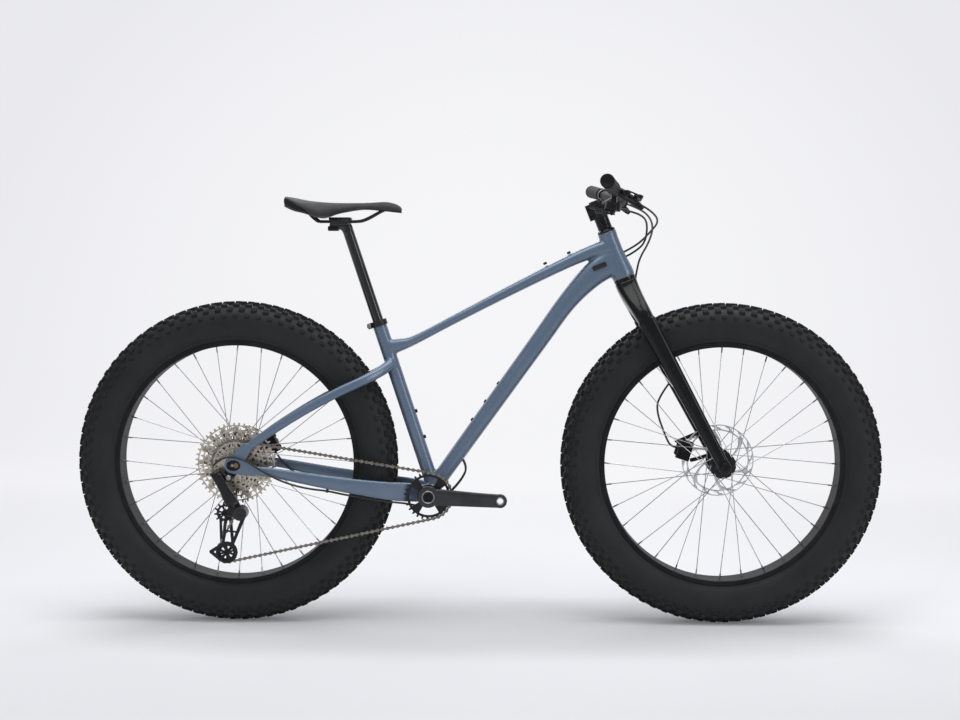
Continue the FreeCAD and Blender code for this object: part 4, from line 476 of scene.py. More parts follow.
# The seat collar is a split alloy band with a steel pinch bolt behind the seat tube. Small black bolts close the
# threaded bosses on the tubes, and moulded covers close the two cable ports beside the head tube.
cast("pinch_collar", "seat_collar", satin_alloy, "frame", 0.0007, 3)
collar_bolt_at = seat_top - seat_up * 0.005 - seat_forward * 0.02465
bolt_set("collar_pinch_bolt", bolt_steel, "frame", [
    (collar_bolt_at - left * 0.007, -left, 5.6, 3.4),
    (collar_bolt_at + left * 0.007, left, 4.0, 2.4),
], ["frame_fittings"])
down_along = (down_knee - bottom_bracket).normalized()
down_up = Vector((-down_along.z, 0, down_along.x))
top_along = (top_front - top_rear).normalized()
top_up = Vector((-top_along.z, 0, top_along.x))
boss_radius = 4.6
bosses = [(mix(bottom_bracket, down_knee, share) + down_up * 0.0205, down_up, boss_radius, 2.8)
          for share in (0.36, 0.455, 0.55)]
bosses += [(mix(top_rear, top_front, share) + top_up * 0.0262, top_up, boss_radius, 4.4)
           for share in (0.725, 0.83)]
bosses += [(seat_foot + seat_up * height + seat_forward * 0.0172, seat_forward, boss_radius, 4.6)
           for height in (0.136, 0.203)]
bolt_set("boss_bolts", black_steel, "frame", bosses)
port_along = (down_joint - down_knee).normalized()
port_at = mix(down_knee, down_joint, 0.66) + P(-2, 0, 17)
port_tilt = math.radians(20) - math.atan2(port_along.z, port_along.x)
moulded_black = mottled("moulded_black", (70.0, (0.010, 0.010, 0.011), (0.019, 0.019, 0.020)), (500.0, 0.2, 0.38),
                        (1800.0, 0.15, 0.0002), Specular_IOR_Level=0.4)
for sign, side_name in ((1, "left"), (-1, "right")):
    cover = bmesh.new()
    bmesh.ops.create_cube(cover, size=1.0)
    bmesh.ops.scale(cover, vec=(0.036, 0.030, 0.0125), verts=cover.verts)
    chamfer(cover, [e for e in cover.edges if abs(e.verts[0].co.y - e.verts[1].co.y) > 0.01], 0.0048, 5)
    lids = [f for f in cover.faces if abs(f.normal.y) > 0.9]
    for thickness, depth in ((0.0012, 0.0006), (0.0009, -0.0008)):
        bmesh.ops.inset_region(cover, faces=lids, thickness=thickness, depth=depth)
    bmesh.ops.rotate(cover, matrix=Matrix.Rotation(port_tilt, 3, "Y"), verts=cover.verts)
    bmesh.ops.translate(cover, vec=port_at + left * sign * 0.0105, verts=cover.verts)
    piece(side_name + "_port_cover", cover, moulded_black, "frame", sharp=30)

# Sealed steel bearings are pressed into the ends of the head tube, and cups with bearings of their own are
# screwed into the bottom bracket shell. Only their outer rims show.
piece("sealed_bearings", solid_of("bearings"), bolt_steel, "frame", ["bearings"], 40)

# The fork is one composite moulding: an arched crown over the tyre and two blades raked to the axle, under a
# clear gloss coat. Cage bolts are threaded into each blade, and a steel axle goes through the tips.
fork_gloss = mottled(
    "fork_gloss", (25.0, (0.0040, 0.0042, 0.0043), (0.0070, 0.0074, 0.0076)), (45.0, 0.08, 0.2),
    Specular_IOR_Level=0.2, Coat_Weight=0.15, Coat_Roughness=0.05)
crown_side = fork_gloss.spread(fork_gloss.along("Z"), 0.70, 0.78, 0.06)
fork_gloss.bump(fork_gloss.noise(90.0, 2.0) * crown_side, 0.5, 0.0014)
cast("moulded_fork", "fork", fork_gloss, "steering", 0.0021, 14, 80)
blade_top = crown_race - steer_up * 0.030
blade_along = (front_axle - blade_top).normalized()
crown_spread = blade_top + blade_along * 0.075
crown_front = blade_along.cross(left)
cage_bolts = []
for sign in (1, -1):
    for share in (0.34, 0.46, 0.58):
        outer_side = left * sign * (0.0925 + 0.008 * share)
        cage_bolts.append((mix(crown_spread, front_axle, share) + outer_side, left * sign, 4.4, 2.2))
bolt_set("fork_cage_bolts", black_steel, "steering", cage_bolts)
axle_rod = bmesh.new()
turn(axle_rod, [(-99, 0), (-99, 7.5), (99, 7.5), (99, 0)], front_axle, left, 48)
socket_bolt(axle_rod, front_axle - left * 0.099, -left, 11.5, 5.0)
socket_bolt(axle_rod, front_axle + left * 0.0985, left, 7.3, 0.6)
piece("front_axle_rod", axle_rod, black_steel, "steering", ["front_thru_axle"])

# The headset's crown race, top cover, three spacers and cap are turned alloy rings, anodised black. They are
# stacked on the steerer and drawn together by the bolt in the cap.
stem_base = head_top + steer_up * 0.0384
stem_top = stem_base + steer_up * 0.040
rings = [
    (crown_race, [(0.2, 20), (0.2, 27), (6.6, 27), (7.6, 26), (7.6, 20)]),
    (head_top, [(0.3, 14.4), (0.3, 22.5), (3.4, 22.5), (8.6, 17.9), (8.8, 17.2), (8.8, 14.4)]),
    (stem_top, [(0.1, 0), (0.1, 16), (2.8, 16), (4.0, 14.8), (4.0, 4.6), (2.6, 4.4), (2.6, 0)]),
]
for low in (9.0, 18.8, 28.6):
    rings.append((head_top, [(low + 0.1, 14.4), (low + 0.1, 17.0), (low + 0.6, 17.5), (low + 9.3, 17.5),
                             (low + 9.8, 17.0), (low + 9.8, 14.4)]))
stack = bmesh.new()
for at, ring_line in rings:
    turn(stack, ring_line, at, steer_up, 64)
piece("turned_headset_rings", stack, fork_gloss, "steering", ["headset_stack"])

# The stem is a forged and machined alloy block, anodised black and split behind the steerer for two pinch
# bolts. Its faceplate clamps the bar with four steel bolts.
cast("forged_stem", "stem", satin_alloy, "steering", 0.0009, 5)
cast("forged_faceplate", "stem_faceplate", satin_alloy, "steering", 0.0009, 4)
stem_mid = mix(stem_base, stem_top, 0.5)
bar_centre = stem_mid + steer_forward * 0.055
stem_screws = []
for up in (-0.010, 0.010):
    spot = stem_mid - steer_forward * 0.0228 + steer_up * up
    stem_screws += [(spot - left * 0.009, -left, 4.2, 2.6), (spot + left * 0.009, left, 4.0, 1.8)]
for y in (-0.017, 0.017):
    for up in (-0.0178, 0.0178):
        spot = bar_centre + left * y + steer_up * up + steer_forward * 0.0078
        stem_screws.append((spot, steer_forward, 3.6, 3.2))
bolt_set("stem_socket_bolts", black_steel, "steering", stem_screws, ["stem_bolts"])

# The handlebar is a butted alloy riser, drawn and bent: thick at the stem, bent up and back, and thin under
# the grips. It is sand-blasted, anodised black and clamped by the faceplate.
end_along = Vector((-math.tan(math.radians(9)), 1, math.tan(math.radians(5)))).normalized()
bend_end = bar_centre + P(-6, 118, 12)
bar_tip = bend_end + end_along * (0.272 / end_along.y)
grip_base = bar_tip - end_along * 0.130


def flip(point):
    """The same place on the other side of the bicycle."""
    return Vector((point.x, -point.y, point.z))


half_bar = [
    (bar_centre + P(0, 32, 0), 0.0159, 0.0159),
    (bar_centre + P(-1, 58, 3), 0.0149, 0.0149),
    (bar_centre + P(-3, 88, 7.4), 0.0132, 0.0132),
    (bend_end, 0.0111, 0.0111),
    (mix(bend_end, bar_tip, 0.5), 0.0111, 0.0111),
    (bar_tip, 0.0111, 0.0111),
]
bar_black = mottled("bar_black", (50.0, (0.007, 0.007, 0.0075), (0.013, 0.013, 0.0135)), (700.0, 0.12, 0.5),
                    Specular_IOR_Level=0.15)
bar = bmesh.new()
far_half = [(flip(centre), half, rise) for centre, half, rise in reversed(half_bar)]
loft(bar, far_half + half_bar, 2.0, 32, 5, Vector((1, 0, 0)))
piece("butted_handlebar", bar, bar_black, "steering", ["handlebar"], 60)

# Slip-on rubber grips with a knurled, ribbed barrel and a smooth flange at the inner end. They are moulded in
# one piece, pushed onto the bar and closed by a plain plug.
grip_rubber = mottled("grip_rubber", (60.0, (0.024, 0.024, 0.0245), (0.046, 0.046, 0.047)), (300.0, 0.15, 0.6),
                      Specular_IOR_Level=0.3)
knurl = grip_rubber.node("TexVoronoi", {"Vector": grip_rubber.place(), "Scale": 420.0})
grip_rubber.bump(knurl, 0.6, 0.0012)
barrel = [(0, 11.2), (0, 16.0), (0.8, 16.5), (5.5, 16.5), (6.2, 15.4)]
for k in range(14):
    rib = 8.0 + 8.2 * k
    barrel += [(rib, 15.6), (rib + 1.0, 16.1), (rib + 6.0, 16.1), (rib + 7.0, 15.6)]
barrel += [(123.5, 15.4), (124.2, 16.5), (133.4, 16.5), (134.6, 15.6), (134.9, 13.6), (134.4, 13.0), (134.4, 0)]
plug_start = 0.1238
for place, side_name in ((Vector, "left"), (flip, "right")):
    grip = bmesh.new()
    start, aim = place(grip_base), place(end_along)
    turn(grip, barrel, start, aim, 56)
    for face in grip.faces:
        face.material_index = 1 if (face.calc_center_median() - start).dot(aim) > plug_start else 0
    piece(side_name + "_grip", grip, [grip_rubber, bar_black], "steering", ["grips"], 40)

# Hydraulic brake lever bodies with hinged bar clamps, and the shifter pod on its own band, all moulded or cast
# in black. Two-finger alloy lever blades turn on pins, and two paddles turn under the pod.
cast("lever_bodies", "control_mounts", satin_alloy, "steering", 0.0009, 5)
lever_drop = math.radians(23.5)
lever_forward = Vector((math.cos(lever_drop), 0, -math.sin(lever_drop)))
lever_forward = (lever_forward - end_along * lever_forward.dot(end_along)).normalized()
lever_up = lever_forward.cross(end_along)
clamp_out = grip_base - end_along * 0.012
clamp_in = clamp_out - end_along * 0.015
master_in = clamp_in + lever_forward * 0.032 - end_along * 0.042
master_out = clamp_out + lever_forward * 0.032 + end_along * 0.008
lever_trim = bmesh.new()
for place in (Vector, flip):
    for share, radius, height in ((0.45, 4.0, 1.6), (0.85, 3.0, 1.2)):
        cap_at = mix(master_in, master_out, share) + lever_up * 0.0085
        socket_bolt(lever_trim, place(cap_at), place(lever_up), radius, height)
    hinge_at = mix(clamp_in, clamp_out, 0.5) + lever_forward * 0.006 - lever_up * 0.0145
    socket_bolt(lever_trim, place(hinge_at), place(-lever_up), 3.0, 2.0)
    turn(lever_trim, [(-6, 0), (-6, 3.2), (-4, 4.0), (5, 4.0), (9, 3.2), (12, 2.9), (12, 0)],
         place(master_in), place(-end_along), 32)
piece("lever_screws", lever_trim, black_steel, "steering")
perches = bmesh.new()
perch_foot = clamp_in - end_along * 0.010
perch_rows = [(0.010, 0.000, 0.0090, 0.0105), (0.028, 0.002, 0.0085, 0.0110), (0.050, 0.007, 0.0075, 0.0095),
              (0.070, 0.013, 0.0060, 0.0070), (0.078, 0.016, 0.0045, 0.0045)]
for place in (Vector, flip):
    loft(perches, [(place(perch_foot + lever_forward * reach - lever_up * drop), half, half_up)
                   for reach, drop, half, half_up in perch_rows], 2.6, 24, 4, place(end_along))
piece("lever_perches", perches, satin_alloy, "steering", sharp=50)
for node, side_name in (("left_brake_lever", "left"), ("right_brake_lever", "right")):
    cast(side_name + "_lever_blade", node, satin_alloy, node, 0.0006, 8, 80)
for node in ("thumb_shift_lever", "release_shift_lever"):
    cast(node + "_paddle", node, moulded_black, node, 0.0005, 5, 80)

# Fat tyres: a supple casing of cloth and rubber with smooth sidewalls, and staggered rows of rubber blocks
# moulded round the tread. Air pressure holds their beads in the rims.
casing_rubber = mottled(
    "casing_rubber", (14.0, (0.0075, 0.0092, 0.0100), (0.0120, 0.0142, 0.0152)), (90.0, 0.16, 0.5),
    (900.0, 0.12, 0.0004), Specular_IOR_Level=0.35)
block_rubber = mottled(
    "block_rubber", (35.0, (0.0110, 0.0108, 0.0102), (0.0220, 0.0212, 0.0200), 4.0), (400.0, 0.15, 0.72),
    (1300.0, 0.25, 0.0005), Specular_IOR_Level=0.25)
half_casing = [
    (0, 388.5), (15, 387.5), (30, 384), (41, 378), (48.5, 368), (52.8, 356), (54.3, 344), (53, 332), (48.5, 318),
    (44.6, 311.2), (43.8, 309.6), (42.6, 308.4), (40.6, 305.2), (40.0, 303.2), (38.6, 301.6), (37.2, 299),
    (36.4, 291)]
casing_line = [(-y, r) for y, r in reversed(half_casing)] + half_casing[1:]
inner_line = [(33.5, 291.5), (34.5, 300), (46, 319), (51.4, 344), (46, 366), (38.5, 376), (0, 384.5)]
casing_line += inner_line + [(-y, r) for y, r in reversed(inner_line[:-1])] + [casing_line[0]]
tread_rows = [(9.5, 386.6, 4, (16.5, 14.5, 9.0)), (28.5, 382.2, 17, (15.5, 14.0, 8.6)),
              (42.5, 374.2, 42, (15.0, 12.5, 8.4)), (51.0, 361.0, 68, (11.5, 9.0, 4.4))]
blocks_round = 80
wheels = (("front", front_axle), ("rear", rear_axle))
for name, axle in wheels:
    casing = bmesh.new()
    turn(casing, casing_line, axle, left, 160)
    piece(name + "_tyre_casing", casing, casing_rubber, name + "_wheel", [name + "_tyre"], 60)
    tread = bmesh.new()
    for row, (y, r, tilt, size) in enumerate(tread_rows):
        for sign in (1, -1):
            knob = bmesh.ops.create_cube(tread, size=0.001)["verts"]
            bmesh.ops.scale(tread, vec=size, verts=knob)
            for v in knob:
                if v.co.z > 0:
                    v.co.x *= 0.84
                    v.co.y *= 0.80
            late = (row + (sign < 0)) % 2 * math.pi / blocks_round
            stand = Matrix.Rotation(late, 4, "Y") @ Matrix.Translation(P(0, sign * y, r))
            stand = stand @ Matrix.Rotation(math.radians(-tilt * sign), 4, "X")
            stand = stand @ Matrix.Translation(P(0, 0, size[2] / 2 - 1))
            bmesh.ops.transform(tread, matrix=stand, verts=knob)
    chamfer(tread, tread.edges, 0.0008, 1)
    last_turn = 2 * math.pi * (blocks_round - 1) / blocks_round
    bmesh.ops.spin(tread, geom=tread.verts[:] + tread.edges[:] + tread.faces[:], cent=(0, 0, 0), axis=(0, 1, 0),
                   angle=last_turn, steps=blocks_round - 1, use_duplicate=True)
    bmesh.ops.translate(tread, vec=axle, verts=tread.verts)
    piece(name + "_tyre_blocks", tread, block_rubber, name + "_wheel", sharp=30)

# Wide alloy rims, extruded, rolled and welded into a hoop, then anodised black. Their hooked edges hold the
# tyre's beads, and the spokes' nipples pull on the well between them.
rim_black = mottled("rim_black", (30.0, (0.009, 0.009, 0.010), (0.016, 0.016, 0.017)), (600.0, 0.15, 0.45, 2.0),
                    Specular_IOR_Level=0.15)
half_rim = [
    (0, 287.6), (26, 287.6), (36, 287.2), (39.2, 287.8), (40, 289.0), (40, 292.2), (39.3, 292.8), (39.3, 294.0),
    (40, 294.6), (40, 297.2), (39.3, 298.4), (38.2, 298.4), (37.5, 297.4), (37.5, 290.2), (30, 289.8), (0, 289.8)]
for name, axle in wheels:
    rim = bmesh.new()
    turn(rim, half_rim + [(-y, r) for y, r in reversed(half_rim[:-1])], axle, left, 160)
    piece(name + "_alloy_rim", rim, rim_black, name + "_wheel", [name + "_rim"], 30)

# Thirty-two spokes to a wheel, drawn from stainless steel wire. They cross three others on the way, are
# elbowed in the hub's flanges and are drawn tight by nipples in the rim.
bright_steel = mottled("bright_steel", (200.0, (0.40, 0.40, 0.41), (0.56, 0.56, 0.57)), (800.0, 0.15, 0.22),
                       Metallic=1.0)
flanges = {"front": (-51.0, 38.6), "rear": (-34.85, 62.1)}
flange_radius, hole_radius, rim_reach, rim_side = 33.0, 29.0, 286.265, 10.0
spokes_a_side, beside_flange = 16, 3.1


def cylinder(bm, radius, depth, sides):
    return bmesh.ops.create_cone(bm, cap_ends=True, segments=sides, radius1=radius, radius2=radius,
                                 depth=depth)["verts"]


def wire(bm, a, b, radius, sides=8):
    """A straight round wire between two points."""
    drawn_wire = cylinder(bm, radius, (b - a).length, sides)
    bmesh.ops.transform(bm, matrix=standing(mix(a, b, 0.5), b - a), verts=drawn_wire)


for name, axle in wheels:
    spokes = bmesh.new()
    for flange, sign, shift in zip(flanges[name], (-1, 1), (0.0, 0.5)):
        past_edge = math.sqrt(flange_radius ** 2 - hole_radius ** 2) + 3.0
        lean = past_edge * (abs(flange) - rim_side) / (rim_reach - hole_radius)
        for k in range(spokes_a_side):
            lead = 1 if k % 2 == 0 else -1
            at_hub = (k + shift) * 2 * math.pi / spokes_a_side
            at_rim = at_hub + lead * 3 * 2 * math.pi / spokes_a_side
            y = flange + sign * lead * (beside_flange + lean if lead == 1 else beside_flange)
            start = axle + P(hole_radius * math.cos(at_hub), y, hole_radius * math.sin(at_hub))
            end = axle + P(rim_reach * math.cos(at_rim), sign * rim_side, rim_reach * math.sin(at_rim))
            aim = (end - start).normalized()
            wire(spokes, start, end - aim * 0.007, 0.001)
            wire(spokes, end - aim * 0.014, end - aim * 0.0003, 0.0020, 6)
            wire(spokes, Vector((start.x, (flange + sign * lead * 1.8) * 0.001, start.z)), start, 0.0012)
    piece(name + "_steel_spokes", spokes, bright_steel, name + "_wheel", [name + "_spokes"])

# Hubs turned from alloy bar and anodised black, with scalloped spoke flanges, end caps and a splined seat for
# the brake disc. They run on bearings round the axles.
hub_ends = {"front": (-74.7, 74.7, 12.0, 14.0), "rear": (-40.0, 98.2, 13.0, 16.0)}
disc_offset = {"front": 59.6, "rear": 83.1}
for name, axle in wheels:
    near_end, far_end, cap, body_radius = hub_ends[name]
    near, far = flanges[name]
    disc_y = disc_offset[name]
    shape = [
        (near_end, 7.6), (near_end, cap - 0.8), (near_end + 0.8, cap),
        (near - 9, body_radius - 1), (near - 8, body_radius), (near - 3, 21.5), (near - 1.8, 22.4),
        (near - 1.8, 26), (near - 1.8, 32.4), (near - 1.2, 33), (near + 1.2, 33), (near + 1.8, 32.4),
        (near + 1.8, 19.5), (near + 6, 16.6), (near + 12, 15.5), (far - 12, 15.5), (far - 6, 16.6),
        (far - 1.8, 19.5), (far - 1.8, 32.4), (far - 1.2, 33), (far + 1.2, 33), (far + 1.8, 32.4), (far + 1.8, 21.4),
        (disc_y - 0.9, 21.0), (disc_y - 0.9, 17), (disc_y + 3.9, 17), (disc_y + 3.9, cap),
        (far_end - 0.8, cap), (far_end, cap - 0.8), (far_end, 7.6),
    ]
    if name == "rear":
        shape = [(-98.2, 6.2), (-98.2, 8.0), (-42.0, 8.0), (-41.0, 12.0)] + shape[2:]
    hub = bmesh.new()
    for v in turn(hub, shape, Vector(), left, 96):
        if math.hypot(v.co.x, v.co.z) > 0.030:
            notch = 0.5 + 0.5 * math.cos(spokes_a_side * math.atan2(v.co.z, v.co.x))
            v.co.x *= 1 - 0.025 * notch
            v.co.z *= 1 - 0.025 * notch
    bmesh.ops.translate(hub, vec=axle, verts=hub.verts)
    piece(name + "_turned_hub", hub, satin_alloy, name + "_wheel", [name + "_hub"])

# Brake discs stamped from stainless steel: a drilled braking band on six curved arms, clamped to the hub by a
# notched alloy lockring.
disc_steel = mottled("disc_steel", (80.0, (0.66, 0.66, 0.66), (0.80, 0.80, 0.80)), (700.0, 0.2, 0.12, 2.0),
                     Metallic=1.0)
disc_radius = {"front": 90, "rear": 80}
disc_thickness = 1.8


def perforated(bm, rows, columns, keep, thickness, centre, twist=0.0, taper=None):
    """A flat disc about Y, gridded in rows of radius and columns of angle, keeping only the wanted cells."""
    others = set(bm.faces)
    made = turn(bm, [(0, r) for r in rows], Vector(), Vector((0, 0, 1)), columns)
    column = 2 * math.pi / columns
    unwanted = []
    for face in set(bm.faces) - others:
        middle = face.calc_center_median()
        reach = middle.xy.length * 1000
        row = sum(reach > r for r in rows) - 1
        if not keep(row, int(math.atan2(middle.y, middle.x) % (2 * math.pi) / column)):
            unwanted.append(face)
    bmesh.ops.delete(bm, geom=unwanted, context="FACES")
    loose = [v for v in made if v.is_valid and not v.link_faces]
    bmesh.ops.delete(bm, geom=loose, context="VERTS")
    made = [v for v in made if v.is_valid]
    for v in made:
        reach = v.co.xy.length
        angle = math.atan2(v.co.y, v.co.x)
        if taper and reach > rows[-1] * 0.001 - 1e-6:
            angle += taper(round(angle / column)) * column
        angle += twist * (reach * 1000 - rows[0])
        v.co.xy = (reach * math.cos(angle), reach * math.sin(angle))
    kept_cells = [f for f in bm.faces if f not in others]
    thick = bmesh.ops.solidify(bm, geom=kept_cells, thickness=thickness * 0.001)
    body = list(set(made) | {v for v in thick["geom"] if isinstance(v, bmesh.types.BMVert)})
    low = min(v.co.z for v in body)
    bmesh.ops.translate(bm, vec=(0, 0, -low - thickness * 0.0005), verts=body)
    stand = Matrix.Translation(centre) @ Matrix.Rotation(math.pi / 2, 4, "X")
    bmesh.ops.transform(bm, matrix=stand, verts=body)


def disc_cells(row, column):
    """The hub ring, six arms, and a braking band with two staggered rows of slots."""
    if row in (0, 5, 8):
        return True
    if row in (1, 2, 3, 4):
        return column % 16 in (0, 1) or (row == 4 and column % 16 == 2)
    return column % 6 in ((0, 1) if row == 6 else (1, 2))


for name, axle in wheels:
    outer = disc_radius[name]
    disc_centre = axle + P(0, disc_offset[name], 0)
    disc = bmesh.new()
    rows = [17.2, 25, 36, 48, outer - 24, outer - 15.5, outer - 11.5, outer - 7.5, outer - 3.2, outer]
    perforated(disc, rows, 96, disc_cells, disc_thickness, disc_centre, 0.011)
    made = piece(name + "_steel_disc", disc, disc_steel, name + "_wheel", [name + "_rotor"], 50)
    rounding = made.modifiers.new("rounding", "SUBSURF")
    rounding.levels = rounding.render_levels = 1
    ring = bmesh.new()
    ring_line = [(0.9, 13.2), (0.9, 22.5), (2.6, 22.5), (3.2, 21.8), (3.2, 17.5), (2.4, 16.6), (2.4, 13.2)]
    for v in turn(ring, ring_line, Vector(), left, 96):
        if math.hypot(v.co.x, v.co.z) > 0.0214 and math.cos(16 * math.atan2(v.co.z, v.co.x)) > 0.35:
            v.co.x *= 0.945
            v.co.z *= 0.945
    bmesh.ops.translate(ring, vec=disc_centre, verts=ring.verts)
    piece(name + "_disc_lockring", ring, satin_alloy, name + "_wheel")

# Two-piston calipers, cast in alloy and bolted behind the fork blade and inside the stays' corner, each with a
# pair of sintered pads on steel backs.
front_radial, rear_radial = (
    Vector((math.cos(math.radians(angle)), 0, math.sin(math.radians(angle)))) for angle in (163, 26))
pad_compound = mottled("pad_compound", (900.0, (0.06, 0.05, 0.045), (0.16, 0.14, 0.12)), (300.0, 0.2, 0.7),
                       Metallic=0.2)
for name, axle, radial, body in (("front", front_axle, front_radial, "steering"),
                                 ("rear", rear_axle, rear_radial, "frame")):
    cast(name + "_cast_caliper", name + "_brake_caliper", bar_black, body, 0.0008, 4)
    centre = axle + P(0, disc_offset[name], 0) + radial * (disc_radius[name] * 0.001)
    screws = [(centre - left * 0.0149, -left, 9.0, 1.2, 0.3)]
    for along in (-0.015, 0.015):
        seat = centre + radial * 0.013 + radial.cross(left) * along
        screws += [(seat + left * 0.008, radial, 4.2, 3.0), (seat - left * 0.008, radial, 3.0, 1.6)]
    bolt_set(name + "_caliper_bolts", black_steel, body, screws)
    if name == "front":
        mount = bmesh.new()
        upper_arm = [(-46, 68, 0.004), (-56, 64, 0.005), (-80, 54, 0.0044), (-101, 45, 0.005), (-104, 43, 0.003)]
        lower_arm = [(-22, 12, 0.004), (-30, 9, 0.0046), (-48, 3, 0.0046), (-64, -1, 0.005), (-68, -2, 0.003)]
        for arm in (upper_arm, lower_arm):
            loft(mount, [(axle + P(x, 72, z), 0.0030, half_up) for x, z, half_up in arm], 3.0, 20, 3)
        piece("caliper_adapter", mount, bar_black, body, sharp=40)
    for side in ("inboard", "outboard"):
        node = name + "_" + side + "_pad"
        milled(node + "_block", node, pad_compound, node, 0.0003)

# The crank: two forged hollow arms on a steel spindle, satin charcoal, with a bright ring round the drive-side
# socket and steel-lined pedal threads. A direct-mount alloy chainring sits behind the drive arm.
charcoal_alloy = mottled(
    "charcoal_alloy", (35.0, (0.030, 0.031, 0.034), (0.046, 0.047, 0.051)), (700.0, 0.15, 0.36, 2.0),
    Metallic=0.6, Coat_Weight=0.15)
crank_length, pedal_face, spindle_end, crank_tilt = 0.175, 0.112, 92.2, math.radians(-2)
cast("drive_arm_forging", "drive_crank_arm", charcoal_alloy, "crank", 0.0011, 6)
cast("left_arm_forging", "left_crank_arm", charcoal_alloy, "crank", 0.0011, 6)
crank_along = Vector((math.cos(crank_tilt), 0, math.sin(crank_tilt)))
crank_trim = bmesh.new()
turn(crank_trim, [(0, 12.6), (0, 15.6), (1.0, 15.6), (1.5, 15.1), (1.5, 13.9), (0.8, 13.2)],
     bottom_bracket + P(0, -spindle_end, 0), -left, 64)
thread_line = [(-12, 7.3), (-12, 7.9), (-0.2, 7.9), (-0.2, 9.6), (0.4, 9.6), (0.7, 9.2), (0.7, 7.6), (-0.2, 7.2),
               (-12, 7.2)]
for sign in (-1, 1):
    tip = bottom_bracket - crank_along * (sign * crank_length) + left * (sign * pedal_face)
    turn(crank_trim, thread_line, tip, left * sign, 40)
piece("crank_bright_rings", crank_trim, bolt_steel, "crank")
crank_caps = bmesh.new()
turn(crank_caps, [(0, 0), (-2, 5.0), (-2, 7.0), (0.4, 8.0), (0.9, 11.8), (0.6, 13.4), (-1, 13.4)],
     bottom_bracket + P(0, -spindle_end, 0), -left, 6)
socket_bolt(crank_caps, bottom_bracket + P(0, spindle_end, 0), left, 14.0, 2.4, 0.6)
for y in (76, 88):
    pinch_at = bottom_bracket - crank_along * 0.012 + P(0, y, 25.6)
    socket_bolt(crank_caps, pinch_at, Vector((0, 0, 1)), 3.4, 2.2)
piece("crank_caps", crank_caps, black_steel, "crank")
chain_pitch, chain_line, roller_seat, tooth_height = 12.7, -66.45, 3.95, 2.2


def pitch_radius(teeth):
    return chain_pitch / (2 * math.sin(math.pi / teeth))


def root_radius(teeth):
    return pitch_radius(teeth) - roller_seat


def tooth_taper(column):
    return {0: 0.55, 2: -0.55}.get(column % 4, 0.0)


def toothed(bm, teeth, inner_rows, keep, thickness, centre, phase):
    """A sprocket about Y: rows of window cells, a solid root band and a row of pointed teeth."""
    rows = inner_rows + [root_radius(teeth), pitch_radius(teeth) + tooth_height]
    last = len(rows) - 2

    def cells(row, column):
        if row == last:
            return column % 4 in (0, 1)
        if row == last - 1:
            return True
        return keep(row, column / (4 * teeth))

    others = set(bm.verts)
    perforated(bm, rows, 4 * teeth, cells, thickness, Vector(), 0.0, tooth_taper)
    made = [v for v in bm.verts if v not in others]
    bmesh.ops.rotate(bm, matrix=Matrix.Rotation(phase, 3, "Y"), verts=made)
    bmesh.ops.translate(bm, vec=centre, verts=made)


ring_teeth = 28
ring = bmesh.new()
toothed(ring, ring_teeth, [20, 28, 36, root_radius(ring_teeth) - 6],
        lambda row, share: row == 0 or (share * 4 + 0.17) % 1 < 0.34, 1.9,
        bottom_bracket + P(0, chain_line, 0), math.radians(45))
piece("alloy_chainring", ring, satin_alloy, "crank", ["chainring"], 30)

# The cassette is twelve stamped steel sprockets, nickel plated, riveted to spiders and held on the freehub by a
# lockring. Windows between the arms keep it light.
plated_steel = Finish("plated_steel", Metallic=1.0)
cog_teeth, first_cog_y, cog_spacing = (10, 12, 14, 16, 18, 20, 23, 28, 32, 36, 42, 48), -92.0, 3.65
from_axle = plated_steel.node(
    "VectorMath", {0: plated_steel.place(), 1: tuple(rear_axle)}, operation="SUBTRACT")
across, inward, above = (plated_steel.along(axis, from_axle) for axis in "XYZ")
# Each cog is darker where it lies behind the edge of the next smaller cog: grease there, and painted shade where
# that cog would shadow it.
step = (inward * 1000.0 - first_cog_y) / cog_spacing
cog_edge = step * step * 0.4 + step * 2.6 + 20.5
behind = (across ** 2.0 + above ** 2.0) ** 0.5 * 1000.0 - cog_edge
grime_and_shade = plated_steel.spread(behind + plated_steel.noise(120.0) * 6.0, -17.0, -3.0)
bright = plated_steel.ramp(plated_steel.noise(90.0), (0.3, (0.50, 0.45, 0.37)), (0.7, (0.70, 0.64, 0.54)))
grime_and_shade_tone = plated_steel.ramp(plated_steel.noise(60.0), (0.3, (0.12, 0.105, 0.085)), (0.7, (0.20, 0.18, 0.15)))
plated_steel.surface(
    Base_Color=plated_steel.node("Mix", {"Factor": grime_and_shade, 6: grime_and_shade_tone, 7: bright}, 2, data_type="RGBA"),
    Roughness=plated_steel.noise(500.0) * 0.18 + 0.22,
)
cogs = bmesh.new()
for k, teeth in enumerate(cog_teeth):
    root = root_radius(teeth)
    rows = [12.6, 15.2] if root - 15.2 < 8 else [12.6, 18.5, (18.5 + root - 3.6) / 2, root - 3.6]
    if teeth > 40:
        rows[2:] = [root * 0.56, root * 0.78, root - 3.0]

    def window(row, share, lead=k * 0.37, large=teeth > 40):
        if row == 0:
            return True
        spread = 8 if row == 1 else 16
        return (share * spread + lead + 0.18 * row) % 1 < (0.36 if row == 1 else 0.34 if large else 0.5)

    toothed(cogs, teeth, rows, window, 1.6, rear_axle + P(0, first_cog_y + cog_spacing * k, 0), 0.13 * k)
turn(cogs, [(-46.2, 8.2), (-46.2, 16), (-94.5, 14.0), (-95.4, 13.2), (-95.4, 8.2)], rear_axle, left, 48)
piece("stamped_cassette", cogs, plated_steel, "cassette", ["cassette"], 30)

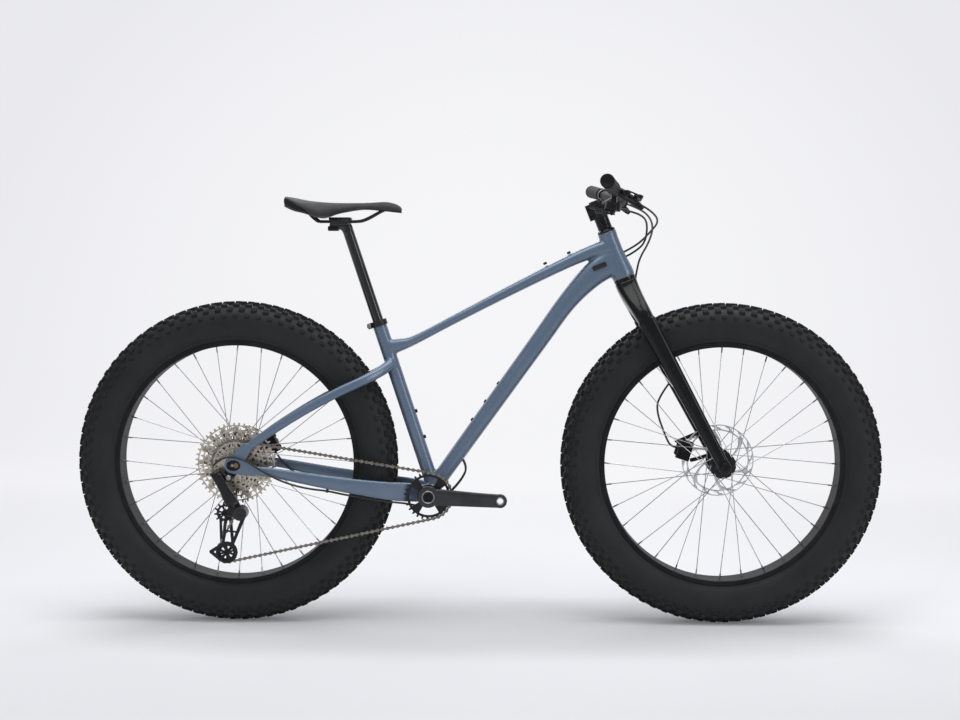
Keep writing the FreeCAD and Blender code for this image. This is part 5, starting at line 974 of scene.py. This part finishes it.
# The chain is made of pairs of waisted steel plates, stamped and riveted over rollers, outer and inner pairs in
# turn. It runs from the chainring over the sprocket in use and through the derailleur's cage.
worn_steel = mottled("worn_steel", (160.0, (0.17, 0.155, 0.13), (0.32, 0.295, 0.255)), (500.0, 0.2, 0.28),
                     Metallic=0.9)
oiled_steel = mottled("oiled_steel", (200.0, (0.10, 0.09, 0.076), (0.20, 0.185, 0.16)), (500.0, 0.2, 0.3),
                      Metallic=0.8)
whole = solid_of("chain")
spots = []
unseen = set(whole.verts)
while unseen:
    island = [unseen.pop()]
    for v in island:
        for e in v.link_edges:
            other = e.other_vert(v)
            if other in unseen:
                unseen.remove(other)
                island.append(other)
    low = [min(v.co[n] for v in island) for n in range(3)]
    high = [max(v.co[n] for v in island) for n in range(3)]
    if high[0] - low[0] < 0.012:
        spots.append(mix(Vector(low), Vector(high), 0.5))
whole.free()
route = [spots.pop()]
while spots:
    nearest = min(spots, key=lambda spot: (spot - route[-1]).length)
    spots.remove(nearest)
    route.append(nearest)
links = bmesh.new()
for k, (here, there) in enumerate(zip(route, route[1:] + route[:1])):
    reach = there - here
    turned_by = Matrix.Rotation(-math.atan2(reach.z, reach.x), 4, "Y")
    half_gap = 2.35 if k % 2 else 1.65
    for sign in (1, -1):
        grown = cylinder(links, 0.0043, 0.0008, 12)
        bmesh.ops.rotate(links, matrix=Matrix.Rotation(math.pi / 2, 3, "X"), verts=grown)
        for v in grown:
            v.co.x += reach.length if v.co.x > 1e-5 else 0.0
        around = {e for v in grown for e in v.link_edges} | {f for v in grown for f in v.link_faces}
        cut = bmesh.ops.bisect_plane(links, geom=grown + list(around), plane_co=(reach.length / 2, 0, 0),
                                     plane_no=(1, 0, 0))
        waist = [v for v in cut["geom_cut"] if isinstance(v, bmesh.types.BMVert)]
        bmesh.ops.scale(links, vec=(1, 1, 0.42), verts=waist)
        for face in {f for v in grown + waist for f in v.link_faces}:
            face.material_index = 0 if k % 2 else 1
        stand = Matrix.Translation(here + P(0, sign * half_gap, 0)) @ turned_by
        bmesh.ops.transform(links, matrix=stand, verts=list(set(grown) | set(waist)))
    wire(links, here - left * 0.0030, here + left * 0.0030, 0.0017, 8)
    wire(links, here - left * 0.00115, here + left * 0.00115, 0.0038, 10)
piece("riveted_chain", links, [worn_steel, oiled_steel], "frame", ["chain"], 40)

# The rear derailleur: a bracket on the hanger bolt, two parallel links, a sprung knuckle and a long cage with two
# toothed plastic pulleys. The castings are black, the links a lighter grey.
graphite_alloy = mottled(
    "graphite_alloy", (60.0, (0.030, 0.030, 0.034), (0.050, 0.050, 0.056)), (600.0, 0.15, 0.34), Metallic=0.6)
cast("derailleur_bracket_casting", "derailleur_bracket", satin_alloy, "frame", 0.0006, 4)
for node in ("outer_link", "inner_link"):
    cast(node + "_forging", node, graphite_alloy, node, 0.0005, 4)
link_face = solid_of("outer_link")
outside = min(v.co.y for v in link_face.verts)
link_face.free()
shoulder_rows = [(-36, -20, 0.0010, 0.0060), (-34, -26, 0.0018, 0.0100), (-20, -52, 0.0018, 0.0110),
                 (-8, -74, 0.0018, 0.0140), (0, -87, 0.0018, 0.0150), (2, -91, 0.0010, 0.0120)]
shoulder = bmesh.new()
loft(shoulder, [(rear_axle + P(x, 0, z) + left * (outside - 0.0006), half, half_up)
                for x, z, half, half_up in shoulder_rows], 3.0, 28, 4)
piece("link_shoulder", shoulder, satin_alloy, "outer_link", sharp=40)
cast("cage_knuckle_casting", "cage_knuckle", satin_alloy, "cage_knuckle", 0.0006, 4)
cage_pivot = rear_axle + P(18, 0, -116)
guide_at = rear_axle + P(-25, 0, -121)
tension_at = rear_axle + P(-21, 0, -218)
tail_at = rear_axle + P(-59, 0, -216)
outer_plate, inner_plate = -72.15, -60.75
plates = bmesh.new()


def strut(a, radius_a, b, radius_b, y):
    """A flat bar of the cage, 2 mm thick, with round ends of the given radii."""
    ends_of_bar = []
    for at, radius in ((a, radius_a), (b, radius_b)):
        disc = cylinder(plates, radius * 0.001, 0.002, 24)
        turned_up = Matrix.Translation(at + left * y * 0.001) @ Matrix.Rotation(math.pi / 2, 4, "X")
        bmesh.ops.transform(plates, matrix=turned_up, verts=disc)
        ends_of_bar += disc
    hull = bmesh.ops.convex_hull(plates, input=ends_of_bar)
    bmesh.ops.delete(plates, geom=list(set(hull["geom_interior"] + hull["geom_unused"])), context="VERTS")


def wheel_frame(at, inner, outer, spokes, y, turned_by):
    """An open ring of the cage round a pulley, with a boss at its centre and thin spokes."""
    turn(plates, [(y - 1, inner), (y - 1, outer), (y + 1, outer), (y + 1, inner), (y - 1, inner)], at, left, 48)
    strut(at, 8.0, at + P(0.01, 0, 0), 8.0, y)
    for k in range(spokes):
        angle = turned_by + 2 * math.pi * k / spokes
        strut(at, 2.6, at + P(inner + 1, 0, 0) * math.cos(angle) + P(0, 0, inner + 1) * math.sin(angle), 2.6, y)


bridge_rear = mix(guide_at, tension_at, 0.45) + P(4, 0, 0)
bridge_front = mix(cage_pivot, tension_at, 0.5) + P(4, 0, 0)
for bar_of_cage in (
    (cage_pivot, 14.5, guide_at, 8.0, outer_plate),
    (cage_pivot + P(5, 0, -10), 5.0, tension_at + P(14, 0, 18), 3.6, outer_plate),
    (guide_at + P(4, 0, -4), 3.4, tension_at + P(-8, 0, 20), 3.4, outer_plate),
    (bridge_rear, 2.4, bridge_front, 2.4, outer_plate),
    (tension_at + P(-16, 0, 17), 3.6, tail_at, 4.5, outer_plate),
    (tension_at + P(-14, 0, -19), 3.6, tail_at, 4.5, outer_plate),
    (guide_at + P(12, 0, -12), 4.0, tension_at + P(14, 0, 18), 4.0, inner_plate),
    (guide_at + P(-12, 0, -12), 3.4, tension_at + P(-14, 0, 18), 3.4, inner_plate),
):
    strut(*bar_of_cage)
wheel_frame(tension_at, 20.5, 26.5, 5, outer_plate, 0.3)
wheel_frame(tension_at, 20.5, 25.5, 5, inner_plate, 0.9)
wheel_frame(guide_at, 15.5, 19.5, 4, inner_plate, 0.4)
piece("cage_plates", melted(plates, 0.0005, 2), satin_alloy, "cage", ["derailleur_cage"], 50)
cap = bmesh.new()
turn(cap, [(0, 0), (0, 16.4), (1.6, 16.4), (2.6, 15.0), (2.6, 9.2), (2.0, 8.4), (2.0, 5.2), (3.0, 4.4), (3.0, 0)],
     cage_pivot + P(0, -119.9, 0), -left, 48)
piece("clutch_cover", cap, moulded_black, "cage_knuckle", sharp=30)
hanger_bolt = rear_axle + P(-9, 0, -29)
bolt_set("hanger_bolt_head", bolt_steel, "frame", [(hanger_bolt + P(0, -116.4, 0), -left, 6.2, 1.4)])
for node, at, phase in (("guide_pulley", guide_at, 0.0), ("tension_pulley", tension_at, 0.13)):
    centre = at + P(0, chain_line, 0)
    pulley = bmesh.new()
    toothed(pulley, 12, [3.2, 7.4, 15.6], lambda row, share: row == 0 or share * 6 % 1 > 0.5, 1.9, centre, phase)
    turn(pulley, [(-2.4, 3.2), (-2.4, 6.4), (-1.8, 7.2), (1.8, 7.2), (2.4, 6.4), (2.4, 3.2)], centre, left, 32)
    piece(node + "_moulding", pulley, moulded_black, node, [node], 30)
    bolt_set(node + "_bolt", black_steel, "cage", [(centre - left * 0.0067, -left, 5.0, 1.8)])

# The seatpost is a drawn alloy tube with a forged two-bolt head, anodised gloss black. The collar holds it in the
# seat tube, and its two cradles clamp the saddle's rails.
gloss_black = mottled(
    "gloss_black", (25.0, (0.0040, 0.0042, 0.0043), (0.0070, 0.0074, 0.0076)), (45.0, 0.08, 0.2),
    Specular_IOR_Level=0.4, Coat_Weight=0.7, Coat_Roughness=0.08)
cast("forged_seatpost", "seatpost", gloss_black, "seatpost", 0.0012, 6)
rail_centre = seat_top + seat_up * 0.242 + P(-16, 0, 15)
cradles = bmesh.new()
blocks = ((P(0, 0, 6.8), P(54, 52, 7)), (P(-1, 0, -8.5), P(48, 50, 9)), (P(-17, 0, -17), P(26, 34, 12)))
for offset, size in blocks:
    lump = bmesh.ops.create_cube(cradles, size=1.0)["verts"]
    bmesh.ops.scale(cradles, vec=size, verts=lump)
    bmesh.ops.translate(cradles, vec=rail_centre + offset, verts=lump)
chamfer(cradles, cradles.edges, 0.0028, 3)
piece("seat_cradles", cradles, satin_alloy, "seatpost", sharp=30)
head_bolts = []
for x in (-16, 16):
    head_bolts += [(rail_centre + P(x, 0, 4.8), Vector((0, 0, 1)), 4.4, 3.6),
                   (rail_centre + P(x, 0, -17.2), Vector((0, 0, -1)), 4.0, 2.6)]
bolt_set("seat_head_bolts", bolt_steel, "seatpost", head_bolts)

# The saddle's two rails are bent steel rod, blackened, clamped in the post's head and pressed into the shell. The
# shell is moulded in stiff black plastic and carries the pad.
rail_line = [(-76, 40, 24), (-68, 36, 13), (-54, 27, 1), (-42, 22, 0), (34, 22, 0), (62, 19, 5), (98, 11, 24),
             (112, 9, 30)]
rails = bmesh.new()
for place in (Vector, flip):
    loft(rails, [(rail_centre + place(P(*point)), 0.0035, 0.0035) for point in rail_line], 2.0, 16, 6)
piece("bent_rails", rails, black_steel, "seatpost", ["saddle_rails"], 60)
saddle_rear = rail_centre.x - 0.135
saddle_length = 0.286


def hill(share, middle, half):
    return math.exp(-((share - middle) / half) ** 2)


def settle(bm):
    """Bends the saddle's pad or shell to its outline: raised tail, deep wings and a waist before the nose."""
    for v in bm.verts:
        share = (v.co.x - saddle_rear) / saddle_length
        low_side = min(max((rail_centre.z + 0.046 - v.co.z) / 0.022, 0), 1)
        wing = 0.0095 * hill(share, 0.31, 0.10) - 0.0050 * hill(share, 0.68, 0.15)
        wing += 0.0060 * hill(share, 0.04, 0.11)
        nose = 0.0035 * max(0, (share - 0.84) / 0.16) ** 1.5
        v.co.z += 0.0045 * max(0, 1 - share / 0.22) ** 1.5 - low_side * wing - nose


shell = melted(solid_of("saddle_shell"), 0.0012, 4)
settle(shell)
bmesh.ops.translate(shell, vec=(0, 0, 0.0016), verts=shell.verts)
piece("saddle_base", shell, moulded_black, "seatpost", ["saddle_shell"], 60)

# The saddle pad is foam under a stretched synthetic cover: crowned, pulled in along its sides, with a shallow
# channel down the middle, a smooth dark panel at the tail and a slanting sewn seam on each side.
saddle_cover = Finish("saddle_cover", Sheen_Weight=0.06, Specular_IOR_Level=0.25)
seam_slope, seam_at, seam_half = 0.72, 0.710, 0.0030
seam_line = saddle_cover.along("X") * seam_slope + saddle_cover.along("Z")
tail_side = saddle_cover.spread(seam_line, 0.7090, 0.7108)
grain = saddle_cover.node("TexVoronoi", {"Vector": saddle_cover.place(), "Scale": 900.0})
soft_grey = saddle_cover.ramp(
    saddle_cover.noise(30.0), (0.3, (0.030, 0.030, 0.031)), (0.7, (0.044, 0.044, 0.046)))
deep_black = saddle_cover.ramp(
    saddle_cover.noise(40.0), (0.3, (0.003, 0.003, 0.003)), (0.7, (0.007, 0.007, 0.007)))
panels = saddle_cover.node("Mix", {"Factor": tail_side, 6: deep_black, 7: soft_grey}, 2, data_type="RGBA")
saddle_cover.surface(Base_Color=panels, Roughness=saddle_cover.noise(200.0) * 0.1 + 0.6)
saddle_cover.bump(grain, 0.25, 0.0004)
pad = melted(solid_of("saddle_pad"), 0.0026, 16)
bmesh.ops.recalc_face_normals(pad, faces=pad.faces)
pad.normal_update()
settle(pad)
for v in pad.verts:
    share = (v.co.x - saddle_rear) / saddle_length
    if v.normal.z > 0.5 and 0.12 < share < 0.86:
        v.co.z -= 0.0035 * hill(v.co.y, 0, 0.0085) * math.sin(math.pi * (share - 0.12) / 0.74)
    off_seam = abs(v.co.x * seam_slope + v.co.z - seam_at)
    if off_seam < seam_half and v.normal.z > -0.4:
        v.co -= v.normal * 0.0011 * (1 - off_seam / seam_half)
cover = piece("saddle_cover_pad", pad, saddle_cover, "seatpost", ["saddle_pad"], 80)
fine = cover.modifiers.new("fine", "SUBSURF")
fine.levels = fine.render_levels = 1

# Brake hoses and the shift housing are black plastic lines. The right-hand pair loops round the head tube into
# the far port, the front hose enters the crown, and the rear runs come out below and follow the chainstays.
line_cover = mottled("line_cover", (80.0, (0.010, 0.010, 0.011), (0.020, 0.020, 0.021)), (300.0, 0.15, 0.3),
                     Specular_IOR_Level=0.5)


def line(name, points, body, node):
    """A round flexible line along the control points of a smooth curve."""
    curve = bpy.data.curves.new(name, "CURVE")
    curve.dimensions = "3D"
    curve.bevel_depth = 0.0025
    curve.bevel_resolution = 4
    curve.use_fill_caps = True
    spline = curve.splines.new("NURBS")
    spline.points.add(len(points) - 1)
    for control, point in zip(spline.points, points):
        control.co = (*point, 1.0)
    spline.order_u = 3
    spline.use_endpoint_u = True
    spline.resolution_u = 10
    curve.materials.append(line_cover.material)
    made = bpy.data.objects.new(name, curve)
    bpy.context.collection.objects.link(made)
    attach(made, body)
    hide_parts(node)
    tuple(points[0])


hose_lead = flip(master_in - end_along * 0.030)
port_mouth = port_at + port_along * 0.016 + left * 0.029
line("rear_hose_upper", [
    flip(master_in), hose_lead, hose_lead + P(25, 42, -12), hose_lead + P(60, 82, -30),
    hose_lead + P(80, 127, -52), port_mouth + P(112, -20, 72), port_mouth + P(88, 5, 46),
    port_mouth + P(56, 14, 27), port_mouth + P(26, 11, 12), port_mouth,
], "steering", "control_cables")
shifter_in = clamp_in - end_along * 0.032
pod_down = (lever_forward * 0.25 - lever_up).normalized()
pod_front = pod_down.cross(end_along)
pod_mid = shifter_in + pod_down * 0.035 - end_along * 0.014 - pod_front * 0.002
housing_lead = flip(pod_mid - end_along * 0.042)
housing_mouth = port_mouth + P(-4, 0, -9)
line("shift_housing_upper", [
    flip(pod_mid - end_along * 0.0185), housing_lead, housing_lead + P(30, 34, -4), housing_lead + P(68, 66, -14),
    housing_lead + P(86, 106, -32), housing_mouth + P(106, -24, 58), housing_mouth + P(84, 2, 36),
    housing_mouth + P(54, 13, 19), housing_mouth + P(25, 11, 7), housing_mouth,
], "steering", "control_cables")
front_lead = master_in - end_along * 0.030
crown_entry = blade_top + blade_along * 0.014 + left * 0.058 + crown_front * 0.008
line("front_hose_upper", [
    master_in, front_lead, front_lead + P(28, -34, -11), front_lead + P(62, -67, -30),
    front_lead + P(76, -91, -62), front_lead + P(64, -105, -102), crown_entry + P(14, -4, 92),
    crown_entry + P(6, -8, 56), crown_entry + P(2, -4, 26), crown_entry,
], "steering", "front_brake_hose")
loop_top = mix(crown_spread, front_axle, 0.44) - crown_front * 0.014 + left * 0.084
loop_end = front_axle + left * 0.0626 + front_radial * 0.098
line("front_hose_lower", [
    loop_top, loop_top + P(-22, 0, -30), loop_top + P(-35, -6, -66), loop_end + P(-34, 7, 24),
    loop_end + P(-22, 2, 4), loop_end,
], "steering", "front_brake_hose")
below = [chainstay_end + chainstay_run * share + P(0, y, z - 1000 * half_up - 4.0)
         for share, x, y, z, half, half_up in chainstay_rows[2:6]]
exit_at = mix(bottom_bracket, down_knee, 0.2) + P(14, 0, -11)
line_start = [
    exit_at + P(0, 9, 0), exit_at + P(12, 9, -20), exit_at + P(-2, 10, -50), exit_at + P(-32, 14, -84),
    bottom_bracket + P(18, 28, -28), bottom_bracket + P(-24, 42, -28), below[3], below[2], below[1],
    mix(below[1], below[0], 0.5) + P(0, 0, -1.5), below[0],
]
rear_side = rear_axle + P(0, 114, 0)
around_hanger = [(185, -14, -57), (143, -4, -46), (103, 0, -30), (65, 0, -8), (30, 0, 15), (-7, 0, 24),
                 (-35, 0, 13), (-46, 0, 0)]
housing_run = line_start + [rear_side + P(*point) for point in around_hanger]
line("shift_housing_lower", [flip(point) for point in housing_run], "frame", "rear_cables")
caliper_foot = rear_axle + left * 0.0901 + rear_radial * 0.076 - rear_radial.cross(left) * 0.024
line("rear_hose_lower", line_start + [
    rear_side + P(166, -21, -50), rear_side + P(130, -28, -42), caliper_foot + P(19, -3, -28),
    caliper_foot + P(-2, 0, 4),
], "frame", "rear_cables")
clip_line = [(-3, 2.7), (-3, 4.0), (-2.4, 4.6), (2.4, 4.6), (3, 4.0), (3, 2.7)]
clips = bmesh.new()
aim = (below[0] - below[1]).normalized()
for at in below[:2]:
    for place in (Vector, flip):
        turn(clips, clip_line, place(at), place(aim), 24)
piece("line_clips", clips, moulded_black, "frame")
